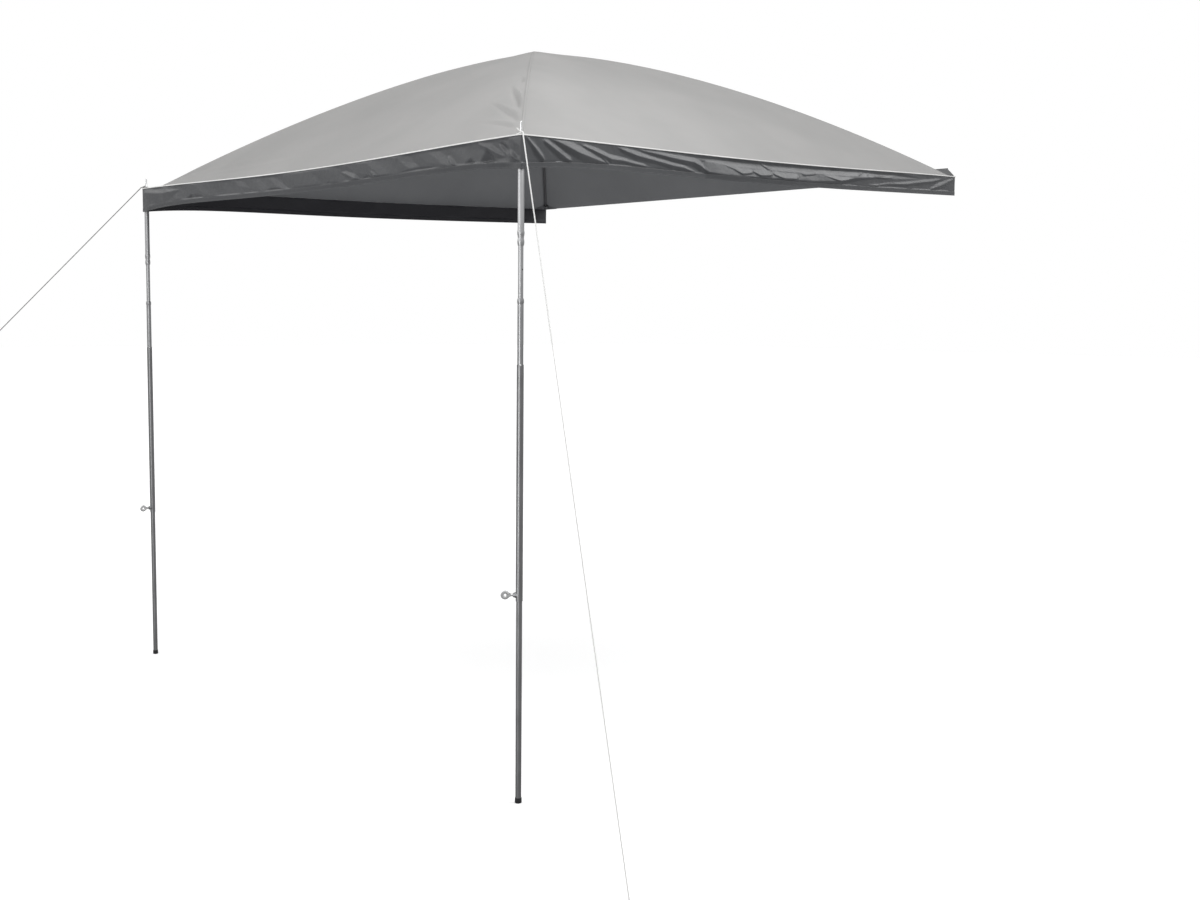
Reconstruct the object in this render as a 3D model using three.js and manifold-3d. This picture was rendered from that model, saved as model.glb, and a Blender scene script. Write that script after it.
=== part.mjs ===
// Domed sun canopy: four fabric panels over two crossed rods, a valance on three sides,
// a welted strip that slides into a rail, and two telescopic poles with guy ropes.
// Millimetres, +X along the rail, +Y from the poles to the rail, +Z up.
import * as THREE from 'three';
import { mergeVertices } from 'three/addons/utils/BufferGeometryUtils.js';
import Module from 'manifold-3d';

const wasm = await Module();
wasm.setup();

// Driving sizes of the canopy
const span = 2600;
const reach = 2320;
const cornerHeight = 2070;
const railRise = 52;
const domeRise = 534;
const frontArchPower = 1.45;
const rearArchPower = 1.6;
const frontFlatShare = 0.04;
const rearFlatShare = 0.01;
const cornerFlatPower = 10;
const roundedPeakShare = 0.02;
const fabric = 1.2;
const clearance = 0.3;
const seamGap = 0.3;
const overrun = 5;

// How far each roof edge is drawn in and hangs at its middle
const frontBow = 25;
const frontDroop = 12;
const sideBow = 15;
const sideDroop = 8;
const slackPower = 2;

// Valance, piping and rail strip
const valanceCornerDepth = 100;
const valanceMiddleDepth = 79;
const railEndDepth = 76;
const valanceCornerPower = 6;
const foldDepth = 5;
const foldCount = 11;
const foldSlant = 1.6;
const foldStart = 60;
const foldFull = 160;
const pipingRadius = 2;
const stripRun = 70;
const stripLift = 42;
const stripSideInset = 4;
const stripTaper = 81;
const weltRadius = 3.5;

// Corner patches and grommets
const poleInset = 12;
const patchInset = 2.2;
const patchLeg = 90;
const patchThickness = 1;
const patchGap = 0.8;
const patchTipShare = 0.03;
const pocketStart = 46;
const pocketEnd = 70;
const pocketWidth = 18;
const pocketWall = 1.6;
const grommetBore = 6;
const grommetNeck = 7;
const grommetFlange = 10;
const grommetSheet = 0.8;

// Roof rods
const rodRadius = 4.75;
const rodEndInset = 52;
const rodJointShare = 1 / 3;
const rodEndGap = 0.4;
const crossingSpread = 120;
const crossingGap = 0.6;
const ferruleLength = 90;
const ferruleClearance = 0.4;
const ferruleWall = 0.8;
const tipLength = 26;
const tipFloor = 3;
const tipClearance = 0.45;
const tipWall = 1.2;
const tipBoreClearance = 0.8;
const apexPatchHalf = 62;
const tieInnerWidth = 30;
const tieThickness = 1.5;
const tieWidth = 12;

// Telescopic poles: outer diameters, walls, and lengths from the top tube down
const upperRadius = 10;
const upperBore = 8.4;
const neckRadius = 8;
const innerRadius = 9.5;
const midRadius = 11;
const lowerRadius = 9.5;
const tubeWall = 1;
const collarBeadRadius = 11.2;
const collarLowBeadRadius = 10.7;
const upperTubeReach = 330;
const collarBeadHeight = 17;
const collarGroove = 8;
const collarLowBeadHeight = 22;
const neckInUpperLength = 125;
const neckShownLength = 159;
const neckInInnerLength = 71;
const innerTubeLength = 372;
const innerBeadHeight = 18;
const innerBeadRadius = 10.6;
const buttonBelowInnerTop = 204;
const rimAboveButton = 2;
const midTubeLength = 734;
const screwAboveMidBottom = 19;
const lowerInMidLength = 347;
const pinHoleBelowUpper = 72;
const pinHoleRadius = 2.2;

// Spike plug
const spikeRadius = 3.5;
const spikeLength = 43;
const swingLimit = THREE.MathUtils.degToRad(10);
const plugSeatGap = 0.15;
const plugRim = 2.5;
const plugStemLength = 38;

// Snap button and its leaf spring
const buttonRadius = 3.5;
const buttonReach = 14;
const buttonDome = 1.6;
const buttonFlangeRadius = 4.8;
const buttonFlangeOuter = 6.8;
const buttonFlangeInner = 6;
const buttonClearance = 0.5;
const leafThickness = 0.7;
const leafWidth = 8;
const leafLength = 42;
const leafBackGap = 0.6;

// Eye screw and the boss that carries it
const bossBaseRadius = 9.5;
const bossTipRadius = 7;
const bossReach = 19;
const screwRadius = 4;
const screwBoreRadius = 4.4;
const eyeReach = 58;
const eyeRadius = 14;
const eyeHoleRadius = 4;
const eyeThickness = 4;
const eyeNeckStart = 22;
const eyeNeckHalf = 3.5;
const eyeShoulderAngle = THREE.MathUtils.degToRad(125);

// Foot cap
const capRadius = 11;
const capHeight = 17;
const capFloor = 4;
const capChamfer = 1.2;

// Guy ropes, with their knots round the spikes and the eyes at their far ends
const ropeRadius = 2;
const knotRingRadius = 7.2;
const knotHeight = 5.3;
const knotLumpRadius = 3.6;
const knotLumpLift = 1.6;
const knotLumpOffset = 10.2;
const tailLength = 15;
const ropeEyeRadius = 12;
const ropeEyeLump = 3.6;

// Counts of facets
const roundSides = 16;
const rodSides = 8;
const rodSteps = 12;
const panelColumnShares = [-1, -0.97, -0.88, -0.7, -0.47, -0.23, 0, 0.23, 0.47, 0.7, 0.88, 0.97, 1];
const panelRows = 14;
const rowCrowding = 1.25;
const panelLastRowShare = 0.9705;
const valanceColumns = 44;
const valanceRows = 3;

// Derived places
const halfSpan = span / 2;
const halfReach = reach / 2;
const halfDiagonal = Math.hypot(halfSpan, halfReach);
const poleX = halfSpan - poleInset;
const tilt = Math.asin(railRise / reach);
const weltOut = halfReach + stripRun + clearance + weltRadius;
const weltUp = stripLift + fabric / 2;
const frontExtent = halfReach - poleInset + eyeReach;
const weltFromEdge = (halfReach + weltOut) * Math.cos(tilt) - weltUp * Math.sin(tilt);
const rearExtent = weltFromEdge + weltRadius - halfReach;
const centreY = (frontExtent - rearExtent) / 2;
const poleY = centreY - halfReach + poleInset;
const rodDrop = rodRadius + patchGap + patchThickness + 3 * clearance + tieThickness;

// Levels on the poles, up from the roof's corner, so all below it
const upperBottom = -upperTubeReach;
const lowBeadTop = upperBottom + collarLowBeadHeight;
const collarTop = lowBeadTop + collarGroove + collarBeadHeight;
const neckTop = upperBottom + neckInUpperLength;
const pinHoleLevel = upperBottom - pinHoleBelowUpper;
const innerTop = upperBottom - neckShownLength;
const neckBottom = innerTop - neckInInnerLength;
const innerBottom = innerTop - innerTubeLength;
const buttonLevel = innerTop - buttonBelowInnerTop;
const midTop = buttonLevel + rimAboveButton;
const midBottom = midTop - midTubeLength;
const screwLevel = midBottom + screwAboveMidBottom;
const lowerTop = midBottom + lowerInMidLength;

const roofGrey = { color: 0xb2b2b4, roughness: 0.8, metalness: 0 };
const valanceGrey = { color: 0x3f4145, roughness: 0.7, metalness: 0 };
const pipingWhite = { color: 0xdcdcda, roughness: 0.6, metalness: 0 };
const blackPlastic = { color: 0x1a1b1d, roughness: 0.55, metalness: 0 };
const darkRod = { color: 0x222326, roughness: 0.4, metalness: 0 };
const bareSteel = { color: 0x8e9194, roughness: 0.35, metalness: 1 };
const brightSteel = { color: 0xc4c6c8, roughness: 0.2, metalness: 1 };
const ropeWhite = { color: 0xeeeeea, roughness: 0.8, metalness: 0 };

// A geometry with shared corners and its faces pointing out
function closed(geometry) {
  const bare = geometry.clone();
  for (const name of Object.keys(bare.attributes)) {
    if (name !== 'position') bare.deleteAttribute(name);
  }
  const merged = mergeVertices(bare);
  const corner = [new THREE.Vector3(), new THREE.Vector3(), new THREE.Vector3()];
  const index = merged.index.array;
  let volume = 0;
  for (let i = 0; i < index.length; i += 3) {
    corner.forEach((point, k) => point.fromBufferAttribute(merged.attributes.position, index[i + k]));
    volume += corner[0].dot(corner[1].clone().cross(corner[2]));
  }
  if (volume < 0) {
    for (let i = 0; i < index.length; i += 3) [index[i], index[i + 1]] = [index[i + 1], index[i]];
  }
  merged.computeVertexNormals();
  return merged;
}

function toSolid(geometry) {
  const shell = closed(geometry);
  return new wasm.Manifold(new wasm.Mesh({
    numProp: 3,
    vertProperties: Float32Array.from(shell.attributes.position.array),
    triVerts: Uint32Array.from(shell.index.array),
  }));
}

function fromSolid(solid) {
  const mesh = solid.getMesh();
  const geometry = new THREE.BufferGeometry();
  geometry.setAttribute('position', new THREE.BufferAttribute(mesh.vertProperties, 3));
  geometry.setIndex(new THREE.BufferAttribute(mesh.triVerts, 1));
  return geometry;
}

function joined(first, ...rest) {
  return fromSolid(rest.reduce((solid, piece) => solid.add(toSolid(piece)), toSolid(first)));
}

function cut(body, ...tools) {
  return fromSolid(tools.reduce((solid, tool) => solid.subtract(toSolid(tool)), toSolid(body)));
}

function piece(parent, name, geometry, look) {
  const mesh = new THREE.Mesh(closed(geometry), new THREE.MeshStandardMaterial(look));
  mesh.name = name;
  parent.add(mesh);
  return mesh;
}

// A closed sheet between two surfaces, each a function of two parameters from 0 to 1
function slab(columns, rows, outer, inner) {
  const points = [];
  const faces = [];
  const layerSize = (columns + 1) * (rows + 1);
  for (const surface of [outer, inner]) {
    for (let row = 0; row <= rows; row += 1) {
      for (let column = 0; column <= columns; column += 1) {
        points.push(...surface(column / columns, row / rows).toArray());
      }
    }
  }
  const at = (layer, column, row) => layer * layerSize + row * (columns + 1) + column;
  const quad = (a, b, c, d) => faces.push(a, b, c, a, c, d);
  for (let row = 0; row < rows; row += 1) {
    for (let column = 0; column < columns; column += 1) {
      quad(at(0, column, row), at(0, column + 1, row), at(0, column + 1, row + 1), at(0, column, row + 1));
      quad(at(1, column, row), at(1, column, row + 1), at(1, column + 1, row + 1), at(1, column + 1, row));
    }
    quad(at(0, 0, row), at(0, 0, row + 1), at(1, 0, row + 1), at(1, 0, row));
    quad(at(0, columns, row), at(1, columns, row), at(1, columns, row + 1), at(0, columns, row + 1));
  }
  for (let column = 0; column < columns; column += 1) {
    quad(at(0, column, 0), at(1, column, 0), at(1, column + 1, 0), at(0, column + 1, 0));
    quad(at(0, column, rows), at(0, column + 1, rows), at(1, column + 1, rows), at(1, column, rows));
  }
  const geometry = new THREE.BufferGeometry();
  geometry.setAttribute('position', new THREE.Float32BufferAttribute(points, 3));
  geometry.setIndex(faces);
  return geometry;
}

// A turned piece about Z from [radius, height] pairs
function turned(profile, sides = roundSides) {
  const points = profile.map(([radius, height]) => new THREE.Vector2(radius, height));
  return new THREE.LatheGeometry(points, sides).rotateX(Math.PI / 2);
}

function tube(outer, inner, bottom, top) {
  return turned([[inner, bottom], [outer, bottom], [outer, top], [inner, top], [inner, bottom]]);
}

function pegAlongX(radius, start, end, sides = roundSides) {
  return new THREE.CylinderGeometry(radius, radius, end - start, sides)
    .rotateZ(Math.PI / 2)
    .translate((start + end) / 2, 0, 0);
}

function polygon(radius, sides) {
  const points = [];
  for (let i = 0; i < sides; i += 1) {
    const angle = (2 * Math.PI * i) / sides;
    points.push(new THREE.Vector2(radius * Math.cos(angle), radius * Math.sin(angle)));
  }
  return points;
}

function along(curve, radius, steps, sides, bore = 0) {
  const shape = new THREE.Shape(polygon(radius, sides));
  if (bore > 0) shape.holes.push(new THREE.Path(polygon(bore, sides)));
  return new THREE.ExtrudeGeometry(shape, { extrudePath: curve, steps, bevelEnabled: false });
}

// Roof sides: which way each faces and runs, its half sizes, and its slack
const frontFrame = { halfOut: halfReach, halfRun: halfSpan, bow: frontBow, droop: frontDroop };
const rearFrame = { halfOut: halfReach, halfRun: halfSpan, bow: 0, droop: 0 };
const besideFrame = { halfOut: halfSpan, halfRun: halfReach, bow: sideBow, droop: sideDroop };
const sides = {
  front: { out: [0, -1], run: [1, 0], ...frontFrame },
  right: { out: [1, 0], run: [0, 1], ...besideFrame },
  rear: { out: [0, 1], run: [-1, 0], ...rearFrame },
  left: { out: [-1, 0], run: [0, -1], ...besideFrame },
};

function slack(t) {
  return Math.pow(1 - t * t, slackPower);
}

// Height of the arch. It is fuller, with smaller flat corners, towards the rail:
// aft is 0 over the front corners and 1 over the rear ones.
function archRise(m, t, aft) {
  const flatShare = frontFlatShare + (rearFlatShare - frontFlatShare) * aft;
  const archPower = frontArchPower + (rearArchPower - frontArchPower) * aft;
  const foot = 1 - flatShare * Math.pow(Math.abs(t), cornerFlatPower);
  return domeRise * (1 - Math.pow(m / foot, archPower));
}

function roofRise(m, t, aft) {
  return Math.max(0, archRise(m, t, aft));
}

// How far aft a point of the plan lies, between the ridges at its distance from the peak
function aftAt(y, m) {
  return (1 + y / halfReach / m) / 2;
}

// Underside of the roof over a point of the plan, without the slack of its edges
function riseOver(x, y) {
  const across = Math.abs(x) / halfSpan;
  const back = Math.abs(y) / halfReach;
  const m = Math.max(across, back);
  return roofRise(m, Math.min(across, back) / m, aftAt(y, m));
}

// Underside of a roof side at m, 0 at the peak and 1 at the edge, and t, -1 to 1 along the edge
function roofPoint(side, m, t, lift = 0) {
  const run = t * (side.halfRun * m - seamGap);
  const out = side.halfOut * m - side.bow * m * slack(t);
  const aft = (1 + side.out[1] + side.run[1] * t) / 2;
  const height = roofRise(m, t, aft) - side.droop * m * slack(t) + lift;
  return new THREE.Vector3(
    side.out[0] * out + side.run[0] * run,
    side.out[1] * out + side.run[1] * run,
    height,
  );
}

// Rows crowd towards the peak, and the last one spans the flat corners
function panelShare(v) {
  const row = Math.round(v * panelRows);
  if (row === panelRows) return 1;
  const share = Math.pow(row / (panelRows - 1), rowCrowding);
  return roundedPeakShare + (panelLastRowShare - roundedPeakShare) * share;
}

// Cutter for the hole that a grommet's neck passes through
function neckHole() {
  const radius = grommetNeck + clearance;
  return turned([[0, -overrun], [radius, -overrun], [radius, overrun], [0, overrun]]);
}

function roofPanel(side, holes) {
  const columns = panelColumnShares.length - 1;
  const surface = (lift) => (u, v) => (
    roofPoint(side, panelShare(v), panelColumnShares[Math.round(u * columns)], lift));
  const sheet = slab(columns, panelRows, surface(fabric), surface(0));
  return holes.length > 0 ? cut(sheet, ...holes) : sheet;
}

// Square sheet under the peak that closes the small gap where the four panels meet
function apexPatch() {
  const under = (lift) => (u, v) => {
    const x = (2 * u - 1) * apexPatchHalf;
    const y = (2 * v - 1) * apexPatchHalf * (reach / span);
    const m = Math.max(Math.abs(x) / halfSpan, Math.abs(y) / halfReach, roundedPeakShare);
    return new THREE.Vector3(x, y, roofRise(m, 1, aftAt(y, m)) + lift);
  };
  return slab(6, 6, under(-patchGap), under(-patchGap - patchThickness));
}

// Valance: a strip that hangs straight down from a roof edge, though the roof itself is tilted.
// Its slanting folds fade out before its ends.
function valanceDepth(side, t) {
  const towardRail = side.run[1] * t;
  const cornerDepth = side.run[1] !== 0 && towardRail > 0 ? railEndDepth : valanceCornerDepth;
  const share = Math.pow(Math.abs(t), valanceCornerPower);
  return valanceMiddleDepth + (cornerDepth - valanceMiddleDepth) * share;
}

function valance(side, startInset, endInset) {
  const surface = (inset) => (u, v) => {
    const first = -1 + startInset / side.halfRun;
    const last = 1 - endInset / side.halfRun;
    const t = first + (last - first) * u;
    const fade = THREE.MathUtils.smoothstep(side.halfRun * (1 - Math.abs(t)), foldStart, foldFull);
    const fold = foldDepth * v * fade * Math.sin(2 * Math.PI * (foldCount * u - foldSlant * v));
    const out = side.halfOut - side.bow * slack(t) - inset + Math.min(0, fold);
    const height = -clearance - side.droop * slack(t) - valanceDepth(side, t) * v;
    return new THREE.Vector3(
      side.out[0] * out + side.run[0] * side.halfRun * t,
      side.out[1] * out + side.run[1] * side.halfRun * t + height * Math.tan(tilt),
      height,
    );
  };
  return slab(valanceColumns, valanceRows, surface(0), surface(fabric));
}

// Piping: one cord sewn round the front and both side edges
function piping() {
  const offset = pipingRadius + clearance + clearance;
  const edge = (side) => {
    const points = [];
    for (let i = 0; i <= 16; i += 1) {
      const t = -1 + i / 8;
      const point = roofPoint(side, 1, t, fabric / 2);
      const run = side.halfRun * t + Math.sign(t) * offset * Math.floor(Math.abs(t));
      point.x = side.out[0] * (side.halfOut - side.bow * slack(t) + offset) + side.run[0] * run;
      point.y = side.out[1] * (side.halfOut - side.bow * slack(t) + offset) + side.run[1] * run;
      points.push(point);
    }
    return points;
  };
  const runs = [sides.left, sides.front, sides.right].map((side) => {
    const points = edge(side);
    if (side === sides.left) points[0].y -= offset;
    if (side === sides.right) points[points.length - 1].y -= offset;
    return along(new THREE.CatmullRomCurve3(points), pipingRadius, 16, 6);
  });
  const bends = [-1, 1].map((sign) => new THREE.SphereGeometry(pipingRadius, 8, 6)
    .translate(sign * (halfSpan + offset), -halfReach - offset, fabric / 2));
  return joined(runs[1], runs[0], runs[2], ...bends);
}

// Tapered strip that climbs from the rear roof edge to the rail
function railStrip() {
  const surface = (lift) => (u, v) => {
    const half = halfSpan - stripSideInset - stripTaper * v;
    return new THREE.Vector3(
      (2 * u - 1) * half,
      halfReach + clearance + (stripRun - clearance) * v,
      stripLift * Math.pow(v, 0.8) + lift,
    );
  };
  return slab(12, 3, surface(fabric), surface(0));
}

function railWelt() {
  const half = halfSpan - stripSideInset - stripTaper;
  return pegAlongX(weltRadius, -half, half, 12)
    .translate(0, weltOut, weltUp);
}

// Height of a rod's centre line above the roof corners, at a share s of the half diagonal
function rodHeight(s, crossesBelow) {
  const m = Math.hypot(s, roundedPeakShare);
  const rise = archRise(m, 1, (1 + s / m) / 2);
  const dip = crossesBelow
    ? (2 * rodRadius + crossingGap) * Math.exp(-Math.pow((s * halfDiagonal) / crossingSpread, 2))
    : 0;
  return rise - rodDrop - dip;
}

function rodPoint(rod, s) {
  return new THREE.Vector3(rod.signX * s * halfSpan, s * halfReach, rodHeight(s, rod.below));
}

function rodCurve(rod, from, to, count) {
  const points = [];
  for (let i = 0; i <= count; i += 1) points.push(rodPoint(rod, from + ((to - from) * i) / count));
  return new THREE.CatmullRomCurve3(points);
}

// A cup of rubber over a rod's end, with its mouth towards the peak
function rodTip() {
  const bore = rodRadius + tipClearance;
  const outer = bore + tipWall;
  return turned([[0, 0], [outer - tipWall, 0], [outer, tipWall], [outer, tipLength],
    [bore, tipLength], [bore, tipFloor], [0, tipFloor]], 12);
}

// Reinforcement that follows the underside of a roof corner, with a pocket for a rod's end
function cornerPatch(signX, signY, holed) {
  const overPatch = (x, y) => riseOver(halfSpan - x, signY * (halfReach - y)) - patchGap;
  const inner = new THREE.QuadraticBezierCurve(
    new THREE.Vector2(patchLeg, 0),
    new THREE.Vector2(patchLeg / 2.2, patchLeg / 2.2),
    new THREE.Vector2(0, patchLeg),
  );
  const surface = (drop) => (u, v) => {
    const reachIn = patchTipShare + (1 - patchTipShare) * v;
    const { x, y } = inner.getPoint(u).multiplyScalar(reachIn).addScalar(patchInset);
    return new THREE.Vector3(x, y, overPatch(x, y) - drop);
  };
  const sheet = slab(4, 2, surface(0), surface(patchThickness));
  const boreRadius = rodRadius + tipClearance + tipWall + tipBoreClearance;
  const rodAt = (inset) => rodHeight(signY * (1 - inset / halfDiagonal), false);
  const toCentre = Math.atan2(halfReach, halfSpan);
  const topAt = (inset) => {
    const heights = [-pocketWidth / 2, pocketWidth / 2].map((aside) => {
      const spot = new THREE.Vector2(inset, aside).rotateAround(new THREE.Vector2(), toCentre);
      return overPatch(spot.x, spot.y);
    });
    return Math.min(...heights) - patchThickness / 2;
  };
  const flap = new THREE.Shape();
  flap.moveTo(pocketStart, topAt(pocketStart));
  flap.lineTo(pocketStart, rodAt(pocketStart) - boreRadius - pocketWall);
  flap.lineTo(pocketEnd, rodAt(pocketEnd) - boreRadius - pocketWall);
  flap.lineTo(pocketEnd, topAt(pocketEnd));
  const pocket = new THREE.ExtrudeGeometry(flap, { depth: pocketWidth, bevelEnabled: false })
    .translate(0, 0, -pocketWidth / 2)
    .rotateX(Math.PI / 2)
    .rotateZ(toCentre);
  const start = rodAt(pocketStart - overrun);
  const end = rodAt(pocketEnd + overrun);
  const boreLength = pocketEnd - pocketStart + 2 * overrun;
  const bore = pegAlongX(boreRadius, -boreLength, boreLength, 14)
    .rotateY(-Math.atan2(end - start, boreLength))
    .translate((pocketStart + pocketEnd) / 2, 0, (start + end) / 2)
    .rotateZ(toCentre);
  const tools = [bore];
  if (holed) tools.push(neckHole().translate(poleInset, poleInset, 0));
  const whole = cut(joined(sheet, pocket), ...tools);
  whole.scale(-signX, -signY, 1);
  return whole.translate(signX * halfSpan, signY * halfReach, 0);
}

function grommet() {
  const top = fabric + clearance;
  const bottom = -patchGap - patchThickness - clearance;
  return turned([[grommetBore, bottom - grommetSheet], [grommetFlange, bottom - grommetSheet],
    [grommetFlange, bottom], [grommetNeck, bottom], [grommetNeck, top], [grommetFlange, top],
    [grommetFlange, top + grommetSheet], [grommetBore, top + grommetSheet],
    [grommetBore, bottom - grommetSheet]]);
}

// Webbing loop that holds the two rods together under the peak
function crossingTie() {
  const top = roofRise(roundedPeakShare, 1, 0) - patchGap - patchThickness - clearance;
  const bottom = rodHeight(0, true) - rodRadius - crossingGap - tieThickness;
  const halfWidth = tieInnerWidth / 2 + tieThickness;
  const ring = new THREE.Shape([
    new THREE.Vector2(-halfWidth, bottom), new THREE.Vector2(halfWidth, bottom),
    new THREE.Vector2(halfWidth, top), new THREE.Vector2(-halfWidth, top),
  ]);
  ring.holes.push(new THREE.Path([
    new THREE.Vector2(-halfWidth + tieThickness, bottom + tieThickness),
    new THREE.Vector2(-halfWidth + tieThickness, top - tieThickness),
    new THREE.Vector2(halfWidth - tieThickness, top - tieThickness),
    new THREE.Vector2(halfWidth - tieThickness, bottom + tieThickness),
  ]));
  return new THREE.ExtrudeGeometry(ring, { depth: tieWidth, bevelEnabled: false })
    .translate(0, 0, -tieWidth / 2)
    .rotateX(Math.PI / 2);
}

function addRoof(canopy) {
  const leftHole = neckHole().translate(-poleX, -halfReach + poleInset, 0);
  const rightHole = neckHole().translate(poleX, -halfReach + poleInset, 0);
  const holes = { front: [leftHole, rightHole], right: [rightHole], rear: [], left: [leftHole] };
  for (const [name, side] of Object.entries(sides)) {
    piece(canopy, `roof_panel_${name}`, roofPanel(side, holes[name]), roofGrey);
  }
  piece(canopy, 'apex_patch', apexPatch(), roofGrey);
  const behindFront = fabric + clearance;
  piece(canopy, 'valance_front', valance(sides.front, 0, 0), valanceGrey);
  piece(canopy, 'valance_left', valance(sides.left, 0, behindFront), valanceGrey);
  piece(canopy, 'valance_right', valance(sides.right, behindFront, 0), valanceGrey);
  piece(canopy, 'edge_piping', piping(), pipingWhite);
  piece(canopy, 'rail_strip', railStrip(), valanceGrey);
  piece(canopy, 'rail_welt', railWelt(), blackPlastic);
  const corners = { a: [-1, -1], b: [1, -1], c: [1, 1], d: [-1, 1] };
  for (const [name, [signX, signY]] of Object.entries(corners)) {
    piece(canopy, `corner_patch_${name}`, cornerPatch(signX, signY, signY < 0), valanceGrey);
  }
  for (const [name, signX] of [['a', -1], ['b', 1]]) {
    piece(canopy, `grommet_${name}`, grommet(), bareSteel)
      .position.set(signX * poleX, -halfReach + poleInset, 0);
  }
}

function addRods(canopy) {
  const rods = {
    ac: { signX: 1, below: false, ends: ['a', 'c'] },
    bd: { signX: -1, below: true, ends: ['b', 'd'] },
  };
  const endShare = 1 - rodEndInset / halfDiagonal;
  const gapShare = rodEndGap / 2 / halfDiagonal;
  const ferruleShare = ferruleLength / 2 / halfDiagonal;
  for (const [name, rod] of Object.entries(rods)) {
    const breaks = [
      [-endShare, -rodJointShare - gapShare],
      [-rodJointShare + gapShare, rodJointShare - gapShare],
      [rodJointShare + gapShare, endShare],
    ];
    breaks.forEach(([from, to], i) => {
      const length = along(rodCurve(rod, from, to, rodSteps), rodRadius, rodSteps, rodSides);
      piece(canopy, `rod_${name}_${i + 1}`, length, darkRod);
    });
    [-rodJointShare, rodJointShare].forEach((joint, i) => {
      const curve = rodCurve(rod, joint - ferruleShare, joint + ferruleShare, 4);
      const bore = rodRadius + ferruleClearance;
      const sleeve = along(curve, bore + ferruleWall, 4, 12, bore);
      piece(canopy, `ferrule_${name}_${i + 1}`, sleeve, bareSteel);
    });
    [-1, 1].forEach((way, i) => {
      const end = rodPoint(rod, way * endShare);
      const inward = rodPoint(rod, way * (endShare - ferruleShare)).sub(end).normalize();
      const tip = piece(canopy, `rod_tip_${rod.ends[i]}`, rodTip(), blackPlastic);
      tip.quaternion.setFromUnitVectors(new THREE.Vector3(0, 0, 1), inward);
      tip.position.copy(end).addScaledVector(inward, -tipFloor - clearance);
    });
  }
  piece(canopy, 'crossing_tie', crossingTie(), blackPlastic);
}

// Height of the plug's shoulder, which falls away so that the pole can lean under the grommet
function shoulderHeight(radius) {
  const under = patchGap + patchThickness + clearance + grommetSheet;
  return -(under + radius * Math.sin(swingLimit)) / Math.cos(swingLimit) - plugSeatGap;
}

// Plug in the pole's top end: the spike swells to a ball that turns in the grommet's bore
function spikePlug() {
  const rim = shoulderHeight(upperRadius) - plugRim;
  const stem = upperBore - clearance;
  const ball = grommetBore - clearance;
  const ballTop = Math.acos(spikeRadius / ball);
  const ballBottom = Math.asin(shoulderHeight(spikeRadius) / ball);
  const seat = [];
  for (let i = 0; i <= 4; i += 1) {
    const angle = ballTop + ((ballBottom - ballTop) * i) / 4;
    seat.push([ball * Math.cos(angle), ball * Math.sin(angle)]);
  }
  return turned([[0, spikeLength], [spikeRadius * 0.6, spikeLength - spikeRadius * 0.3],
    [spikeRadius, spikeLength - spikeRadius], ...seat,
    [upperRadius, shoulderHeight(upperRadius)], [upperRadius, rim], [stem, rim],
    [stem, rim - plugStemLength], [0, rim - plugStemLength]]);
}

// Outline points of a rolled bead between two heights, listed from the top down
function bead(top, bottom, base, crest) {
  const points = [];
  for (let i = 0; i <= 4; i += 1) {
    const bulge = (crest - base) * Math.sin((Math.PI * i) / 4);
    points.push([base + bulge, top + ((bottom - top) * i) / 4]);
  }
  return points;
}

// Upper tube: its lower end is rolled into two beads that grip the narrower tube inside
function upperTube() {
  const gripped = (upperRadius + upperBore) / 2;
  const top = shoulderHeight(upperRadius) - plugRim - clearance;
  return turned([[upperBore, upperBottom], [upperBore, top], [upperRadius, top],
    ...bead(collarTop, collarTop - collarBeadHeight, upperRadius, collarBeadRadius),
    ...bead(lowBeadTop, upperBottom, gripped, collarLowBeadRadius), [upperBore, upperBottom]]);
}

function neckTube() {
  const pinHole = pegAlongX(pinHoleRadius, -neckRadius - overrun, neckRadius + overrun, 8)
    .translate(0, 0, pinHoleLevel);
  return cut(tube(neckRadius, neckRadius - tubeWall, neckBottom, neckTop), pinHole);
}

// Inner tube: rolled rim at its top and a hole for the snap button
function innerTube(buttonTurn) {
  const bore = innerRadius - tubeWall;
  const rim = bead(innerTop, innerTop - innerBeadHeight, innerRadius, innerBeadRadius);
  const body = turned([[bore, innerBottom], [bore, innerTop], ...rim, [innerRadius, innerBottom],
    [bore, innerBottom]]);
  const hole = pegAlongX(buttonRadius + buttonClearance, 0, innerRadius + overrun)
    .translate(0, 0, buttonLevel)
    .rotateZ(buttonTurn);
  return cut(body, hole);
}

function snapButton() {
  return turned([[0, buttonFlangeInner], [buttonFlangeRadius, buttonFlangeInner],
    [buttonFlangeRadius, buttonFlangeOuter], [buttonRadius, buttonFlangeOuter],
    [buttonRadius, buttonReach - buttonDome], [buttonRadius / 2, buttonReach - buttonDome / 4],
    [0, buttonReach]])
    .rotateY(Math.PI / 2)
    .translate(0, 0, buttonLevel);
}

// Leaf spring bent like a hairpin: one leg pushes the button out, the other leans on the far wall
function leafSpring() {
  const front = buttonFlangeInner - clearance;
  const back = -(innerRadius - tubeWall - leafBackGap) * 0.86;
  const top = buttonFlangeRadius;
  const bottom = -leafLength;
  const outline = new THREE.Shape();
  outline.moveTo(front, top);
  outline.lineTo(front - leafThickness, top);
  outline.lineTo(front - leafThickness, bottom);
  outline.absarc((front + back) / 2, bottom, (front - back) / 2 - leafThickness, 0, -Math.PI, true);
  outline.lineTo(back + leafThickness, top);
  outline.lineTo(back, top);
  outline.lineTo(back, bottom);
  outline.absarc((front + back) / 2, bottom, (front - back) / 2, -Math.PI, 0, false);
  outline.lineTo(front, top);
  return new THREE.ExtrudeGeometry(outline, { depth: leafWidth, bevelEnabled: false, curveSegments: 6 })
    .translate(0, 0, -leafWidth / 2)
    .rotateX(Math.PI / 2)
    .translate(0, 0, buttonLevel);
}

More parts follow.
